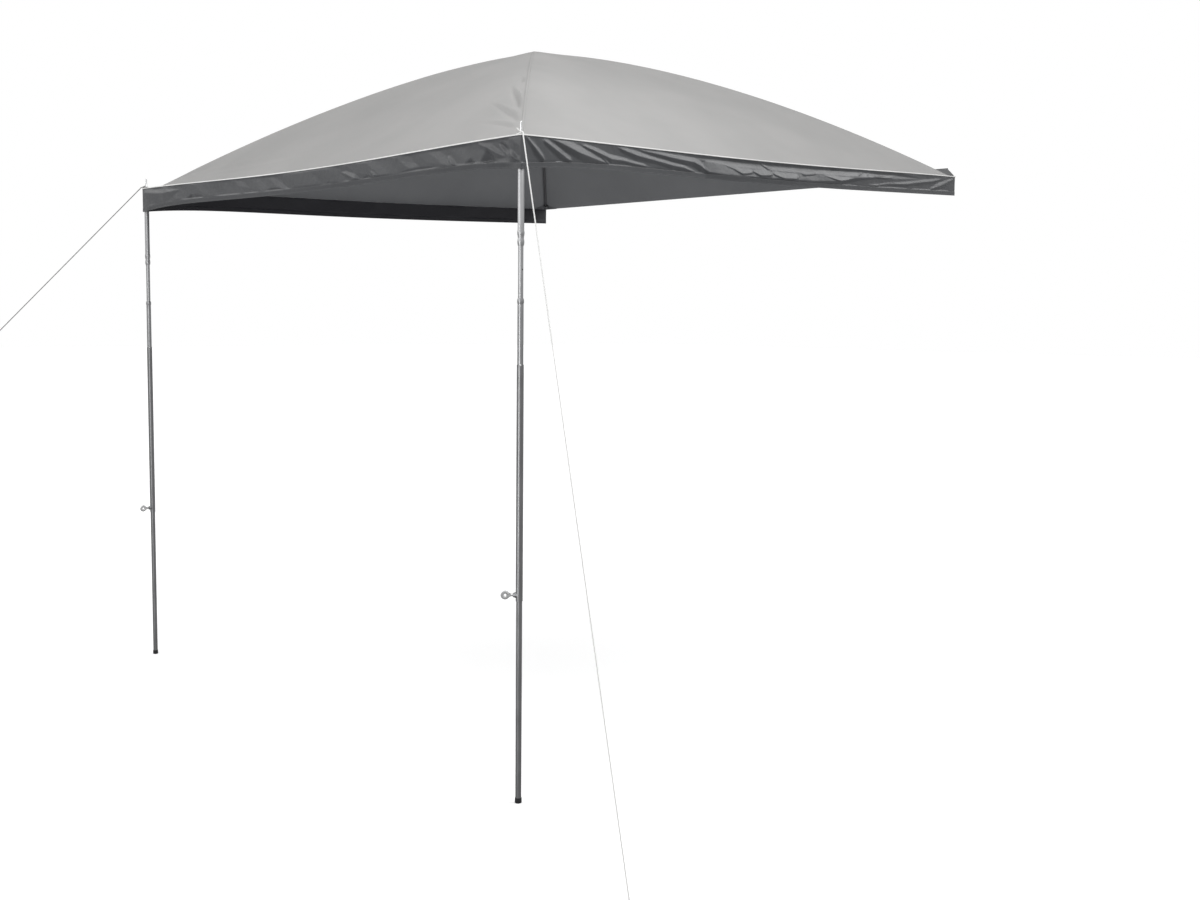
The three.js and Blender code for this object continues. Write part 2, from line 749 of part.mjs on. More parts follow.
// Middle tube: a notch in its rim seats the button, and a boss near its lower end carries the screw
function midTube(buttonTurn, screwTurn) {
  const bore = midRadius - tubeWall;
  const boss = turned([[0, 0], [bossBaseRadius, 0], [bossBaseRadius, midRadius],
    [bossTipRadius, bossReach], [0, bossReach]])
    .rotateY(Math.PI / 2)
    .rotateZ(screwTurn)
    .translate(0, 0, screwLevel);
  const inside = turned([[0, midBottom - overrun], [bore, midBottom - overrun],
    [bore, midTop + overrun], [0, midTop + overrun]]);
  const thread = pegAlongX(screwBoreRadius, 0, bossReach + overrun)
    .rotateZ(screwTurn)
    .translate(0, 0, screwLevel);
  const seat = buttonRadius + buttonClearance;
  const notch = joined(
    pegAlongX(seat, 0, midRadius + overrun),
    new THREE.BoxGeometry(midRadius + overrun, 2 * seat, seat + overrun)
      .translate((midRadius + overrun) / 2, 0, (seat + overrun) / 2),
  ).rotateZ(buttonTurn).translate(0, 0, buttonLevel);
  const wall = turned([[0, midBottom], [midRadius, midBottom], [midRadius, midTop], [0, midTop]]);
  return cut(joined(wall, boss), inside, thread, notch);
}

// Eye screw: a threaded shank with a flat teardrop eye to turn it by
function eyeScrew() {
  const centre = eyeReach - eyeRadius;
  const shoulderX = centre + eyeRadius * Math.cos(eyeShoulderAngle);
  const shoulderY = eyeRadius * Math.sin(eyeShoulderAngle);
  const waistX = (shoulderX + eyeNeckStart) / 2;
  const waistY = eyeNeckHalf * 1.2;
  const outline = new THREE.Shape();
  outline.moveTo(eyeNeckStart, -eyeNeckHalf);
  outline.quadraticCurveTo(waistX, -waistY, shoulderX, -shoulderY);
  outline.absarc(centre, 0, eyeRadius, -eyeShoulderAngle, eyeShoulderAngle, false);
  outline.quadraticCurveTo(waistX, waistY, eyeNeckStart, eyeNeckHalf);
  outline.closePath();
  const hole = new THREE.Path();
  hole.absarc(centre, 0, eyeHoleRadius, 0, 2 * Math.PI, true);
  outline.holes.push(hole);
  const flat = { depth: eyeThickness, bevelEnabled: false, curveSegments: 8 };
  const eye = new THREE.ExtrudeGeometry(outline, flat)
    .translate(0, 0, -eyeThickness / 2)
    .rotateX(Math.PI / 2);
  return joined(eye, pegAlongX(screwRadius, lowerRadius + clearance, eyeNeckStart + screwRadius, 12));
}

function footCap() {
  const bore = lowerRadius + clearance;
  return turned([[0, 0], [capRadius - capChamfer, 0], [capRadius, capChamfer],
    [capRadius, capHeight - capChamfer], [capRadius - capChamfer / 2, capHeight],
    [bore, capHeight], [bore, capFloor], [0, capFloor]]);
}

function addPole(parent, name, signX, buttonAzimuth, screwAzimuth) {
  const pole = new THREE.Group();
  pole.position.set(signX * poleX, poleY, cornerHeight);
  parent.add(pole);
  const buttonTurn = THREE.MathUtils.degToRad(buttonAzimuth - 90);
  const screwTurn = THREE.MathUtils.degToRad(screwAzimuth - 90);
  piece(pole, `spike_plug_${name}`, spikePlug(), bareSteel);
  piece(pole, `upper_tube_${name}`, upperTube(), brightSteel);
  piece(pole, `neck_tube_${name}`, neckTube(), bareSteel);
  piece(pole, `inner_tube_${name}`, innerTube(buttonTurn), bareSteel);
  piece(pole, `snap_button_${name}`, snapButton().rotateZ(buttonTurn), brightSteel);
  piece(pole, `leaf_spring_${name}`, leafSpring().rotateZ(buttonTurn), bareSteel);
  piece(pole, `mid_tube_${name}`, midTube(buttonTurn, screwTurn), bareSteel);
  piece(pole, `eye_screw_${name}`, eyeScrew().rotateZ(screwTurn), brightSteel)
    .position.z = screwLevel;
  piece(pole, `lower_tube_${name}`, tube(lowerRadius, lowerRadius - tubeWall,
    capFloor + clearance - cornerHeight, lowerTop), bareSteel);
  piece(pole, `foot_cap_${name}`, footCap(), blackPlastic).position.z = -cornerHeight;
}

// Knot of a guy rope: a ring round the spike, a lump and two short tails
function guyKnot(heading) {
  const lump = new THREE.Vector3(
    knotLumpOffset * Math.cos(heading),
    knotLumpOffset * Math.sin(heading),
    knotHeight + knotLumpLift,
  );
  const tail = (turn, climb) => {
    const away = new THREE.Vector3(Math.cos(heading + turn), Math.sin(heading + turn), climb).normalize();
    const end = lump.clone().addScaledVector(away, tailLength);
    return along(new THREE.LineCurve3(lump, end), ropeRadius, 1, 8);
  };
  return joined(
    new THREE.TorusGeometry(knotRingRadius, ropeRadius, 8, 16).translate(0, 0, knotHeight),
    new THREE.SphereGeometry(knotLumpRadius, 10, 8).translate(lump.x, lump.y, lump.z),
    tail(-Math.PI / 2, 0.9),
    tail(-Math.PI / 2.6, 0.15),
  );
}

// Tied eye at the far end of a rope, in line with it
function guyEye(end, direction) {
  const eye = joined(
    new THREE.TorusGeometry(ropeEyeRadius, ropeRadius, 8, 18)
      .translate(ropeEyeLump + ropeEyeRadius, 0, 0),
    new THREE.SphereGeometry(ropeEyeLump, 10, 8),
  );
  const turn = new THREE.Quaternion().setFromUnitVectors(new THREE.Vector3(1, 0, 0), direction);
  const centre = end.clone().addScaledVector(direction, ropeEyeLump + clearance);
  return eye.applyQuaternion(turn).translate(centre.x, centre.y, centre.z);
}

// Route of each guy rope from its knot: distance out from the spike, and height from the roof corner
const guyRouteA = [
  [14.4, 6.9], [18.5, 6.5], [22.2, 5.2], [25.2, 2.9], [28, 0.1], [52.8, -24], [114.6, -84], [197, -164],
  [279.4, -244], [361.8, -324], [444.2, -404], [526.6, -484], [609, -564], [670.8, -624],
  [712, -664], [742.9, -694],
];
const guyRouteB = [
  [14.4, 6.9], [18, 6.2], [21, 4.2], [23.6, 0.6], [25.6, -2.8], [61, -60], [147.8, -200],
  [271.7, -400], [395.6, -600], [519.5, -800], [643.4, -1000], [767.4, -1200], [891.3, -1400],
  [1015.2, -1600], [1139.1, -1800], [1218.4, -1928], [1274.2, -2018],
];

// A curve that is stepped evenly between its listed points instead of along its length,
// so that the short bends by the knot keep their shape
class Route extends THREE.CatmullRomCurve3 {
  getUtoTmapping(u) {
    return u;
  }
}

function addGuy(parent, name, signX, route, headingDegrees) {
  const heading = THREE.MathUtils.degToRad(headingDegrees);
  const guy = new THREE.Group();
  guy.position.set(signX * poleX, poleY, cornerHeight);
  parent.add(guy);
  const points = route.map(([out, up]) => (
    new THREE.Vector3(out * Math.cos(heading), out * Math.sin(heading), up)));
  const last = points[points.length - 1];
  const direction = last.clone().sub(points[points.length - 2]).normalize();
  piece(guy, `guy_knot_${name}`, guyKnot(heading), ropeWhite);
  const rope = along(new Route(points), ropeRadius, 3 * (points.length - 1), 8);
  piece(guy, `guy_rope_${name}`, rope, ropeWhite);
  piece(guy, `guy_eye_${name}`, guyEye(last, direction), ropeWhite);
}

const awning = new THREE.Group();
const outerEdge = new THREE.Group();
outerEdge.position.set(0, centreY - halfReach, cornerHeight);
outerEdge.rotation.x = tilt;
awning.add(outerEdge);
const canopy = new THREE.Group();
canopy.position.y = halfReach;
outerEdge.add(canopy);

addRoof(canopy);
addRods(canopy);
addPole(awning, 'a', -1, 65, 0);
addPole(awning, 'b', 1, 51, -42);
addGuy(awning, 'a', -1, guyRouteA, -135);
addGuy(awning, 'b', 1, guyRouteB, -27);

export default awning;
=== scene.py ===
"""Looks of a domed awning on two poles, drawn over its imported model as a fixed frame. Metres, +Z up.

Corners a and b stand on the poles, a on the left and b on the right; c, beside b, and d hang on the rail.
"""
import math

import bmesh
import bpy
import numpy as np
from mathutils import Matrix, Vector


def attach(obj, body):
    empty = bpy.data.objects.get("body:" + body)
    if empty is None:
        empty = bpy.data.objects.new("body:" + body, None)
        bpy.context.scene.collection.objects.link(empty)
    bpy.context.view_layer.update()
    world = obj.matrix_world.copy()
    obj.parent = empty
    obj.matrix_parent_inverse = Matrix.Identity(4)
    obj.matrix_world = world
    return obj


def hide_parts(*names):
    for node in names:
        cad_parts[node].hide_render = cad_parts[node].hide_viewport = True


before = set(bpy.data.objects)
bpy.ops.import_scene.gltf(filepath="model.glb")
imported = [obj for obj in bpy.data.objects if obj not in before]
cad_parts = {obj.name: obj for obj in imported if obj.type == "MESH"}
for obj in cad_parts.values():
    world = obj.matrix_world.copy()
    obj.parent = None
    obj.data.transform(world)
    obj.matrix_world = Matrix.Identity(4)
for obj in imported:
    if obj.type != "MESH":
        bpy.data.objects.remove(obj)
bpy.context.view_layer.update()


# Roof: one sheet of coated polyester in four sewn panels, stretched into a dome over two crossed rods.
# Its free edges bow in and sag a little between the corners, and it creases where the corners pull it.
half_span, half_reach = 1.3, 1.16
corner_height, rail_rise, dome_rise = 2.07, 0.052, 0.534
front_edge = -1.1748719
roof_tilt = math.asin(rail_rise / (2 * half_reach))
roof_lift, roof_thickness = 0.0012, 0.001
# Each side: the way out, the way along it, half its reach out, half its length, its bow and its droop.
roof_sides = {
    "front": ((0, -1), (1, 0), half_reach, half_span, 0.025, 0.012),
    "right": ((1, 0), (0, 1), half_span, half_reach, 0.015, 0.008),
    "rear": ((0, 1), (-1, 0), half_reach, half_span, 0.0, 0.0),
    "left": ((-1, 0), (0, -1), half_span, half_reach, 0.015, 0.008),
}
# Each crease: the two plan points that it runs between, its width and its depth.
near_creases = (
    ((0.80, -0.775), (1.02, -0.915), 0.018, 0.0100),
    ((0.86, -0.905), (1.125, -1.012), 0.017, 0.0065),
    ((0.95, -1.03), (1.15, -1.06), 0.015, 0.0040),
    ((0.72, -0.675), (0.775, -0.70), 0.016, 0.0070),
)
far_creases = (
    ((-0.10, -1.012), (-1.14, -1.118), 0.040, 0.0045),
    ((-0.45, -0.985), (-1.12, -1.085), 0.030, 0.0035),
    ((-0.30, -1.085), (-1.05, -1.136), 0.022, 0.0025),
)
roof_dark, roof_light = (0.345, 0.342, 0.338), (0.375, 0.371, 0.366)
# The underside's grey is far darker than the top's: partly a dark coating, partly painted shade for the
# little light that reaches under the roof.
underside_coat_and_shade_dark, underside_coat_and_shade_light = (0.082, 0.085, 0.090), (0.093, 0.096, 0.101)


def ease(value, low, high):
    """0 below low and 1 above high; between them 3tt - 2ttt, where t is the share of the way."""
    t = np.clip((np.asarray(value, float) - low) / (high - low), 0, 1)
    return t * t * (3 - 2 * t)


def lattice(x, y, seed):
    """Random heights at the four corners of each point's unit cell, and the point's place in that cell."""
    table = np.random.RandomState(seed).uniform(-1, 1, (128, 128))
    x, y = np.asarray(x, float) + 500.0, np.asarray(y, float) + 500.0
    column, row = np.floor(x).astype(int), np.floor(y).astype(int)
    left, right, near, far = column % 128, (column + 1) % 128, row % 128, (row + 1) % 128
    return table[near, left], table[near, right], table[far, left], table[far, right], x - column, y - row


def noise(x, y, seed):
    """Rolling height from -1 to 1: the four heights of a cell, mixed by 6t^5 - 15t^4 + 10t^3 each way."""
    a, b, c, d, u, v = lattice(x, y, seed)
    u, v = u * u * u * (u * (u * 6 - 15) + 10), v * v * v * (v * (v * 6 - 15) + 10)
    return (a * (1 - u) + b * u) * (1 - v) + (c * (1 - u) + d * u) * v


def tilted(points):
    """Canopy points in the row frame: turned about the front edge so that the rail edge rises."""
    points = np.asarray(points, float)
    out, up = points[..., 1] + half_reach, points[..., 2]
    return np.stack([
        points[..., 0],
        front_edge + out * math.cos(roof_tilt) - up * math.sin(roof_tilt),
        corner_height + out * math.sin(roof_tilt) + up * math.cos(roof_tilt),
    ], axis=-1)


def arch_rise(m, t, aft):
    """Height of the arch at m, 0 at the peak and 1 at the edge: the rise times 1 - m^(1.45 + 0.15 aft).
    aft is 0 over the front corners and 1 over the rear ones, and the arch is flatter where t, which is
    -1 to 1 along the edge, comes near a corner."""
    foot = 1 - (0.04 - 0.03 * aft) * np.abs(t) ** 10
    return dome_rise * (1 - (m / foot) ** (1.45 + 0.15 * aft))


def roof_points(side, m, t, lift):
    """A side's sheet, lift over its underside: m times the edge's plan point, less a bow and a droop that
    follow m (1 - tt)^2, at the height of the arch."""
    out_way, run_way, half_out, half_run, bow, droop = roof_sides[side]
    slack = (1 - t * t) ** 2
    rise = np.maximum(0.0, arch_rise(m, t, (1 + out_way[1] + run_way[1] * t) / 2))
    out, run = half_out * m - bow * m * slack, t * half_run * m
    return np.stack([
        out_way[0] * out + run_way[0] * run,
        out_way[1] * out + run_way[1] * run,
        rise - droop * m * slack + lift,
    ], axis=-1)


def pinch(points, start, end, width, depth):
    """A crease between two plan points: 1.6 w exp(-ww) - 0.6 exp(-1.96 ww) across it, where w is the share
    of its width, which grows from the start, and eased in and out along it."""
    start, end = np.array(start), np.array(end)
    length = np.linalg.norm(end - start)
    along = (points[..., :2] - start) @ ((end - start) / length) / length
    aside = np.array([start[1] - end[1], end[0] - start[0]]) / length
    across = ((points[..., :2] - start) @ aside) / (width * (0.35 + 0.65 * np.clip(along, 0, 1)))
    shape = across * np.exp(-across ** 2) * 1.6 - 0.6 * np.exp(-(across * 1.4) ** 2)
    return depth * shape * ease(along, -0.25, 0.5) * (1 - ease(along, 0.9, 1.08))


def roof_wrinkle(side, points, m, t):
    """Height of the small unevenness: two sizes of rolling noise, calmed at the peak, edges and ridges,
    and on the front panel the creases, held down beside the ridge seams."""
    x, y = points[..., 0], points[..., 1]
    calm = ease(m, 0.03, 0.2) * (1 - ease(m, 0.93, 1.0)) * (1 - ease(np.abs(t), 0.86, 0.99))
    height = (0.0016 * noise(x / 0.42, y / 0.42, 3) + 0.0006 * noise(x / 0.15, y / 0.15, 4)) * calm
    if side == "front":
        held = 1 - ease(np.abs(t), 0.965, 0.985)
        height += held * sum(pinch(points, *crease) for crease in near_creases)
        height += sum(pinch(points, *crease) for crease in far_creases)
    return height


def grid_faces(rows, columns, around=False):
    """Quads over rows by columns of points; around joins the last column to the first."""
    row = np.arange(rows - 1)[:, None] * columns
    column = np.arange(columns if around else columns - 1)[None, :]
    following = (column + 1) % columns
    quads = [row + column, row + following, row + columns + following, row + columns + column]
    return np.stack([np.broadcast_to(q, (rows - 1, column.size)) for q in quads], axis=-1).reshape(-1, 4)


def add_mesh(name, points, faces, materials, uv=None, inner=None, sharp=40.0, weld=True):
    """A smooth object from points and faces, creased where faces meet at more than sharp degrees.
    inner marks the faces that take the second material, and weld joins points that coincide."""
    mesh = bpy.data.meshes.new(name)
    mesh.from_pydata(np.asarray(points, float).reshape(-1, 3).tolist(), [], np.asarray(faces).tolist())
    for material in materials:
        mesh.materials.append(material)
    if inner is not None:
        mesh.polygons.foreach_set("material_index", np.asarray(inner, np.int32))
    if uv is not None:
        corner = np.zeros(len(mesh.loops), np.int32)
        mesh.loops.foreach_get("vertex_index", corner)
        layer = mesh.uv_layers.new(name="map")
        layer.data.foreach_set("uv", np.asarray(uv, float).reshape(-1, 2)[corner].ravel())
    if weld:
        edit = bmesh.new()
        edit.from_mesh(mesh)
        bmesh.ops.remove_doubles(edit, verts=edit.verts, dist=1e-6)
        bmesh.ops.recalc_face_normals(edit, faces=edit.faces)
        edit.to_mesh(mesh)
        edit.free()
    mesh.shade_smooth()
    mesh.set_sharp_from_angle(angle=math.radians(sharp))
    obj = bpy.data.objects.new(name, mesh)
    bpy.context.collection.objects.link(obj)
    return obj


def add_cloth(name, outer, inner, materials, around=False, sharp=60.0, places=None):
    """A closed sheet between two grids of points, its edges walled, with the second material inside.
    places maps both faces, in metres."""
    rows, columns = outer.shape[:2]
    count = rows * columns
    faces = grid_faces(rows, columns, around)
    step, last = np.arange(columns - 1), (rows - 1) * columns
    border = [np.stack([step, step + 1], axis=-1), np.stack([last + step + 1, last + step], axis=-1)]
    if around:
        border.append(np.array([(columns - 1, 0), (last, last + columns - 1)]))
    else:
        down = np.arange(rows - 1) * columns
        border.append(np.stack([down + columns, down], axis=-1))
        border.append(np.stack([down + columns - 1, down + 2 * columns - 1], axis=-1))
    a, b = np.vstack(border).T
    rim = np.stack([b, a, a + count, b + count], axis=-1)
    every = np.vstack([faces, faces[:, [0, 3, 2, 1]] + count, rim])
    mark = np.concatenate([np.zeros(len(faces)), np.ones(len(faces)), np.zeros(len(rim))])
    points = np.vstack([outer.reshape(-1, 3), inner.reshape(-1, 3)])
    flat = None if places is None else np.vstack([places.reshape(-1, 2)] * 2)
    return add_mesh(name, points, every, materials, uv=flat, inner=mark, sharp=sharp)


def new_material(name, colour, roughness, metallic=0.0, sheen=0.0, coat=0.0, specular=0.5):
    """A material and its shader."""
    material = bpy.data.materials.new(name)
    material.use_nodes = True
    shader = material.node_tree.nodes["Principled BSDF"]
    shader.inputs["Base Color"].default_value = (*colour, 1.0)
    shader.inputs["Roughness"].default_value = roughness
    shader.inputs["Metallic"].default_value = metallic
    shader.inputs["Sheen Weight"].default_value = sheen
    shader.inputs["Coat Weight"].default_value = coat
    shader.inputs["Specular IOR Level"].default_value = specular
    return material, shader


def add_node(material, kind, **values):
    """A node with its inputs or properties set by name."""
    node = material.node_tree.nodes.new(kind)
    for key, value in values.items():
        if key in node.inputs:
            node.inputs[key].default_value = value
        else:
            setattr(node, key, value)
    return node


def math_node(material, operation, *constants):
    """A node that calculates, with constants for its second input and the ones after it."""
    node = add_node(material, "ShaderNodeMath", operation=operation)
    for entry, value in zip(node.inputs[1:], constants):
        entry.default_value = value
    return node


def wire(material, *pairs):
    """Joins sockets, given as (node, output, node, input)."""
    for source, output, target, entry in pairs:
        material.node_tree.links.new(source.outputs[output], target.inputs[entry])


def two_tones(material, dark, light, low, high):
    """A ramp from a dark tone at low to a light one at high."""
    ramp = add_node(material, "ShaderNodeValToRGB")
    for stop, place, tone in zip(ramp.color_ramp.elements, (low, high), (dark, light)):
        stop.position = place
        stop.color = (*tone, 1.0)
    return ramp


def clouded(material, shader, dark, light, scale):
    """Base colour that drifts between two tones in clouds, scale of them to the metre."""
    coords = add_node(material, "ShaderNodeTexCoord")
    cloud = add_node(material, "ShaderNodeTexNoise", Scale=scale, Detail=4.0)
    ramp = two_tones(material, dark, light, 0.35, 0.65)
    wire(material, (coords, "Object", cloud, "Vector"), (cloud, "Fac", ramp, "Fac"),
         (ramp, "Color", shader, "Base Color"))
    return coords


def cloth(name, dark, light, roughness, sheen, specular, thread, crumple, scale):
    """Coated cloth in two drifting tones. Its relief is the sum of two waves, one for each way of the
    weave, a thread wide each, over a soft crumple of the given height, scale of them to the metre."""
    material, shader = new_material(name, light, roughness, sheen=sheen, specular=specular)
    coords = clouded(material, shader, dark, light, 3.0)
    weave = math_node(material, "ADD")
    for index, axis in enumerate(("X", "Y")):
        wave = add_node(material, "ShaderNodeTexWave", bands_direction=axis, Scale=0.314 / thread)
        wire(material, (coords, "Object", wave, "Vector"), (wave, "Fac", weave, index))
    fine = add_node(material, "ShaderNodeBump", Strength=0.25, Distance=0.0002)
    folds = add_node(material, "ShaderNodeTexNoise", Scale=scale, Detail=5.0, Roughness=0.55)
    broad = add_node(material, "ShaderNodeBump", Strength=0.5, Distance=crumple)
    wire(material, (weave, "Value", fine, "Height"), (coords, "Object", folds, "Vector"),
         (folds, "Fac", broad, "Height"), (broad, "Normal", fine, "Normal"),
         (fine, "Normal", shader, "Normal"))
    return material


def settle(obj, body, slot, *nodes):
    """Fastens a piece to its body and hides the imported parts it stands for; slot is not used."""
    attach(obj, body)
    if nodes:
        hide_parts(*nodes)
    return obj


def build_roof():
    """The four sides in one grid: rows from the peak outwards, columns round it, closer by the ridges."""
    spread = np.concatenate([np.linspace(0, 0.7, 30), np.linspace(0.71, 0.99, 34), [0.995, 1.0]])
    along = np.concatenate([-spread[::-1], spread[1:]])
    outward = np.concatenate([[0.0], np.linspace(0.012, 0.6, 26), np.linspace(0.61, 1.0, 58)])
    m, t = np.meshgrid(outward, along[:-1], indexing="ij")
    sides = []
    for side in roof_sides:
        top = roof_points(side, m, t, roof_lift)
        top[..., 2] += roof_wrinkle(side, top, m, t)
        sides.append(top)
    outer = np.concatenate(sides, axis=1)
    inner = outer - np.array([0, 0, roof_thickness])
    return add_cloth("roof_sheet", tilted(outer), tilted(inner), [roof_cloth, roof_underside_coat_and_shade], around=True,
                     sharp=75.0)


roof_cloth = cloth("roof_cloth", roof_dark, roof_light, 0.75, 0.05, 0.3, 0.0008, 0.0015, 9.0)
# The underside's cloth: a dark coating, with painted shade in its tone.
roof_underside_coat_and_shade = cloth("roof_underside_coat_and_shade", underside_coat_and_shade_dark, underside_coat_and_shade_light, 0.65, 0.02, 0.35, 0.0008, 0.0012, 9.0)
roof = build_roof()
settle(roof, "canopy", "roof_fabric", "roof_panel_front", "roof_panel_right", "roof_panel_rear",
       "roof_panel_left", "apex_patch")


# Ridge seams: a narrow lapped seam in the roof's own cloth over each ridge, from peak to corner.
# Each is sewn down in two rows of running stitches.
corners = (("a", -1, -1), ("b", 1, -1), ("c", 1, 1), ("d", -1, 1))
seam_half = 0.006
seam_profile = (-seam_half, -0.0055, -0.002, 0.0, 0.002, 0.0055, seam_half)
seam_thickness = 0.0004
half_diagonal = math.hypot(half_span, half_reach)


def stitched(material, thread, rows):
    """The cloth with dashes of thread along its map's first axis, at each of rows on its second: 68
    hundredths of every 4 mm."""
    shader, links = material.node_tree.nodes["Principled BSDF"], material.node_tree.links
    coords = add_node(material, "ShaderNodeTexCoord")
    split = add_node(material, "ShaderNodeSeparateXYZ")
    pitch = math_node(material, "MULTIPLY", 1 / 0.004)
    share = math_node(material, "FRACT")
    dash = math_node(material, "LESS_THAN", 0.68)
    wire(material, (coords, "UV", split, "Vector"), (split, "X", pitch, 0), (pitch, "Value", share, 0),
         (share, "Value", dash, 0))
    mask = None
    for row in rows:
        near = math_node(material, "COMPARE", row, 0.0004)
        wire(material, (split, "Y", near, 0))
        if mask is not None:
            both = math_node(material, "MAXIMUM")
            wire(material, (mask, "Value", both, 0), (near, "Value", both, 1))
            near = both
        mask = near
    stitch = math_node(material, "MULTIPLY")
    wire(material, (dash, "Value", stitch, 0), (mask, "Value", stitch, 1))
    mix = add_node(material, "ShaderNodeMix", data_type="RGBA")
    mix.inputs[7].default_value = (*thread, 1.0)
    links.new(shader.inputs["Base Color"].links[0].from_socket, mix.inputs[6])
    links.new(stitch.outputs["Value"], mix.inputs[0])
    links.new(mix.outputs[2], shader.inputs["Base Color"])
    raised = add_node(material, "ShaderNodeBump", Strength=0.6, Distance=0.0005)
    links.new(shader.inputs["Normal"].links[0].from_socket, raised.inputs["Normal"])
    wire(material, (stitch, "Value", raised, "Height"), (raised, "Normal", shader, "Normal"))
    return material


def dome_height(x, y):
    """Height of the roof's underside over plan points near a ridge, from the arch alone."""
    across, back = np.abs(x) / half_span, np.abs(y) / half_reach
    share = np.maximum(np.maximum(across, back), 1e-6)
    aft = (1 + y / half_reach / share) / 2
    return np.maximum(0.0, arch_rise(np.minimum(share, 1.0), np.minimum(across, back) / share, aft))


def ridge_seam(letter, sign_x, sign_y):
    """A strip that straddles the ridge: m along it, and the seam's profile across it, on the dome."""
    m = np.linspace(0.0, 1.0, 150)
    rise = np.maximum(0.0, arch_rise(m, 1.0, (1 + sign_y) / 2))
    middle = np.stack([sign_x * half_span * m, sign_y * half_reach * m, rise + roof_lift], axis=-1)
    aside = np.array([sign_y * half_reach, -sign_x * half_span, 0.0]) / half_diagonal
    length = np.concatenate([[0], np.cumsum(np.linalg.norm(np.diff(middle, axis=0), axis=1))])
    width = np.array(seam_profile)[:, None]
    grid = middle + width[..., None] * aside
    above = np.where(np.abs(width) < seam_half, 0.0018, 0.0013)
    grid[..., 2] = dome_height(grid[..., 0], grid[..., 1]) + above
    places = np.stack(np.broadcast_arrays(length, width + seam_half), axis=-1)
    grid, places = grid[:, 2:-1], places[:, 2:-1]
    seam = add_cloth("ridge_seam_" + letter, tilted(grid), tilted(grid - np.array([0, 0, seam_thickness])),
                     [seam_cloth, seam_cloth], places=places)
    settle(seam, "canopy", "roof_fabric")


seam_cloth = stitched(cloth("seam_cloth", roof_dark, roof_light, 0.72, 0.05, 0.3, 0.0008, 0.0008, 30.0),
                      (0.24, 0.24, 0.235), (0.002, 0.010))
for letter, sign_x, sign_y in corners:
    ridge_seam(letter, sign_x, sign_y)


# Valance: one strip of dark polyester sewn round the left, front and right edges, with a doubled hem.
# The near corner pulls its cloth into folds that slant down and away, and die out at piping and hem.
corner_depth, middle_depth, rail_end_depth = 0.100, 0.079, 0.076
hem_depth, valance_thickness = 0.017, 0.0012
hem_rows = (0.02, 0.05, 0.3, 0.6, 0.85, 1.0)
coal_dark, coal_light = (0.034, 0.036, 0.040), (0.042, 0.044, 0.048)
# The inner face of the valance and the rail strip takes a near-black copy of the cloth: painted shade for
# the dark inside of the canopy.
painted_shade_dark, painted_shade_light = (0.015, 0.015, 0.019), (0.019, 0.019, 0.024)
# Each fold: how fast it falls off above its line and under it, and the line's points in mm, as (distance
# from the near corner, depth under the piping, height).
right_folds = [
    (0.4, 0.45, [(16, 0, 0), (24, 9, 4), (57, 41, 7.5), (89, 71, 7), (100, 80, 0)]),
    (0.4, 0.6, [(30, 34, 0), (36, 40, 1.5), (68, 66, 2), (80, 76, 0)]),
    (0.4, 0.45, [(85, 10, 0), (100, 17, 5), (150, 43, 7.5), (201, 69, 7), (215, 76, 0)]),
    (0.36, 0.5, [(110, 1, 0), (125, 4, 3), (180, 22, 7.5), (235, 40, 9.5), (290, 51, 8), (342, 60, 4.5),
                 (380, 68, 0)]),
    (0.42, 0.5, [(240, 12, 0), (265, 18, 4), (320, 33, 6.5), (374, 47, 6.5), (437, 49, 5), (481, 54, 4),
                 (523, 57, 3), (560, 60, 0)]),
    (0.55, 0.8, [(300, 28, 0), (306, 31, 3), (338, 46, 4), (367, 65, 4), (380, 72, 0)]),
    (0.4, 0.45, [(400, 6, 0), (426, 14, 4), (489, 27, 6.5), (580, 37, 4.5), (658, 47, 5.5), (718, 51, 4.5),
                 (775, 64, 3), (800, 68, 0)]),
    (0.4, 0.45, [(490, 4, 0), (519, 9, 2), (600, 16, 4.5), (678, 24, 6), (766, 29, 6.5), (800, 40, 8),
                 (841, 57, 4), (870, 60, 0)]),
    (0.22, 0.7, [(760, 36, 0), (800, 42, 3), (840, 58, 9.5), (930, 61, 11), (1010, 61, 9.5),
                 (1100, 59, 8.3), (1190, 58, 8.8), (1280, 57, 8.3), (1380, 58, 8), (1470, 55, 9),
                 (1560, 51, 8.8), (1660, 36, 7), (1770, 28, 3.5), (1860, 24, 0)]),
    (0.3, 0.4, [(1700, 60, 0), (1788, 58, 2.2), (1863, 49, 2.2), (1974, 46, 3.6), (2059, 37, 3.8),
                (2145, 28, 3.4), (2192, 21, 3), (2235, 12, 0)]),
    (0.3, 0.4, [(2130, 68, 0), (2158, 56, 3), (2204, 44, 5.2), (2234, 36, 4.8), (2290, 17, 3),
                (2320, 6, 0)]),
]
right_puffs = [
    (0.2, 1.1, [(900, 22, 0), (967, 38, 2), (1010, 53, 4.2), (1058, 47, 3), (1075, 40, 0)]),
    (0.2, 1.3, [(1065, 36, 0), (1076, 43, 2.2), (1107, 53, 4.5), (1162, 50, 4.5), (1180, 44, 0)]),
    (0.3, 1.2, [(1110, 6, 0), (1125, 14, 2), (1152, 27, 3.5), (1175, 26, 0)]),
    (0.2, 1.1, [(1170, 36, 0), (1189, 46, 2.8), (1235, 56, 4), (1306, 55, 4), (1325, 45, 0)]),
    (0.25, 1.1, [(1335, 30, 0), (1353, 37, 3), (1401, 33, 3), (1440, 28, 0)]),
    (0.25, 1.1, [(1470, 34, 0), (1514, 42, 3), (1559, 50, 4.2), (1610, 44, 2.5), (1650, 36, 0)]),
    (0.5, 0.8, [(1755, 20, 0), (1800, 26, 3.5), (1860, 26, 3.5), (1910, 20, 0)]),
    (0.5, 0.9, [(1660, 30, 0), (1685, 20, 3.5), (1715, 6, 0)]),
    (0.5, 0.9, [(1720, 30, 0), (1735, 18, 3), (1755, 6, 0)]),
]
right_hollow = (0.3, 0.25, [(700, 10, 0), (950, 12, 4), (1900, 12, 4), (2100, 20, 0)])
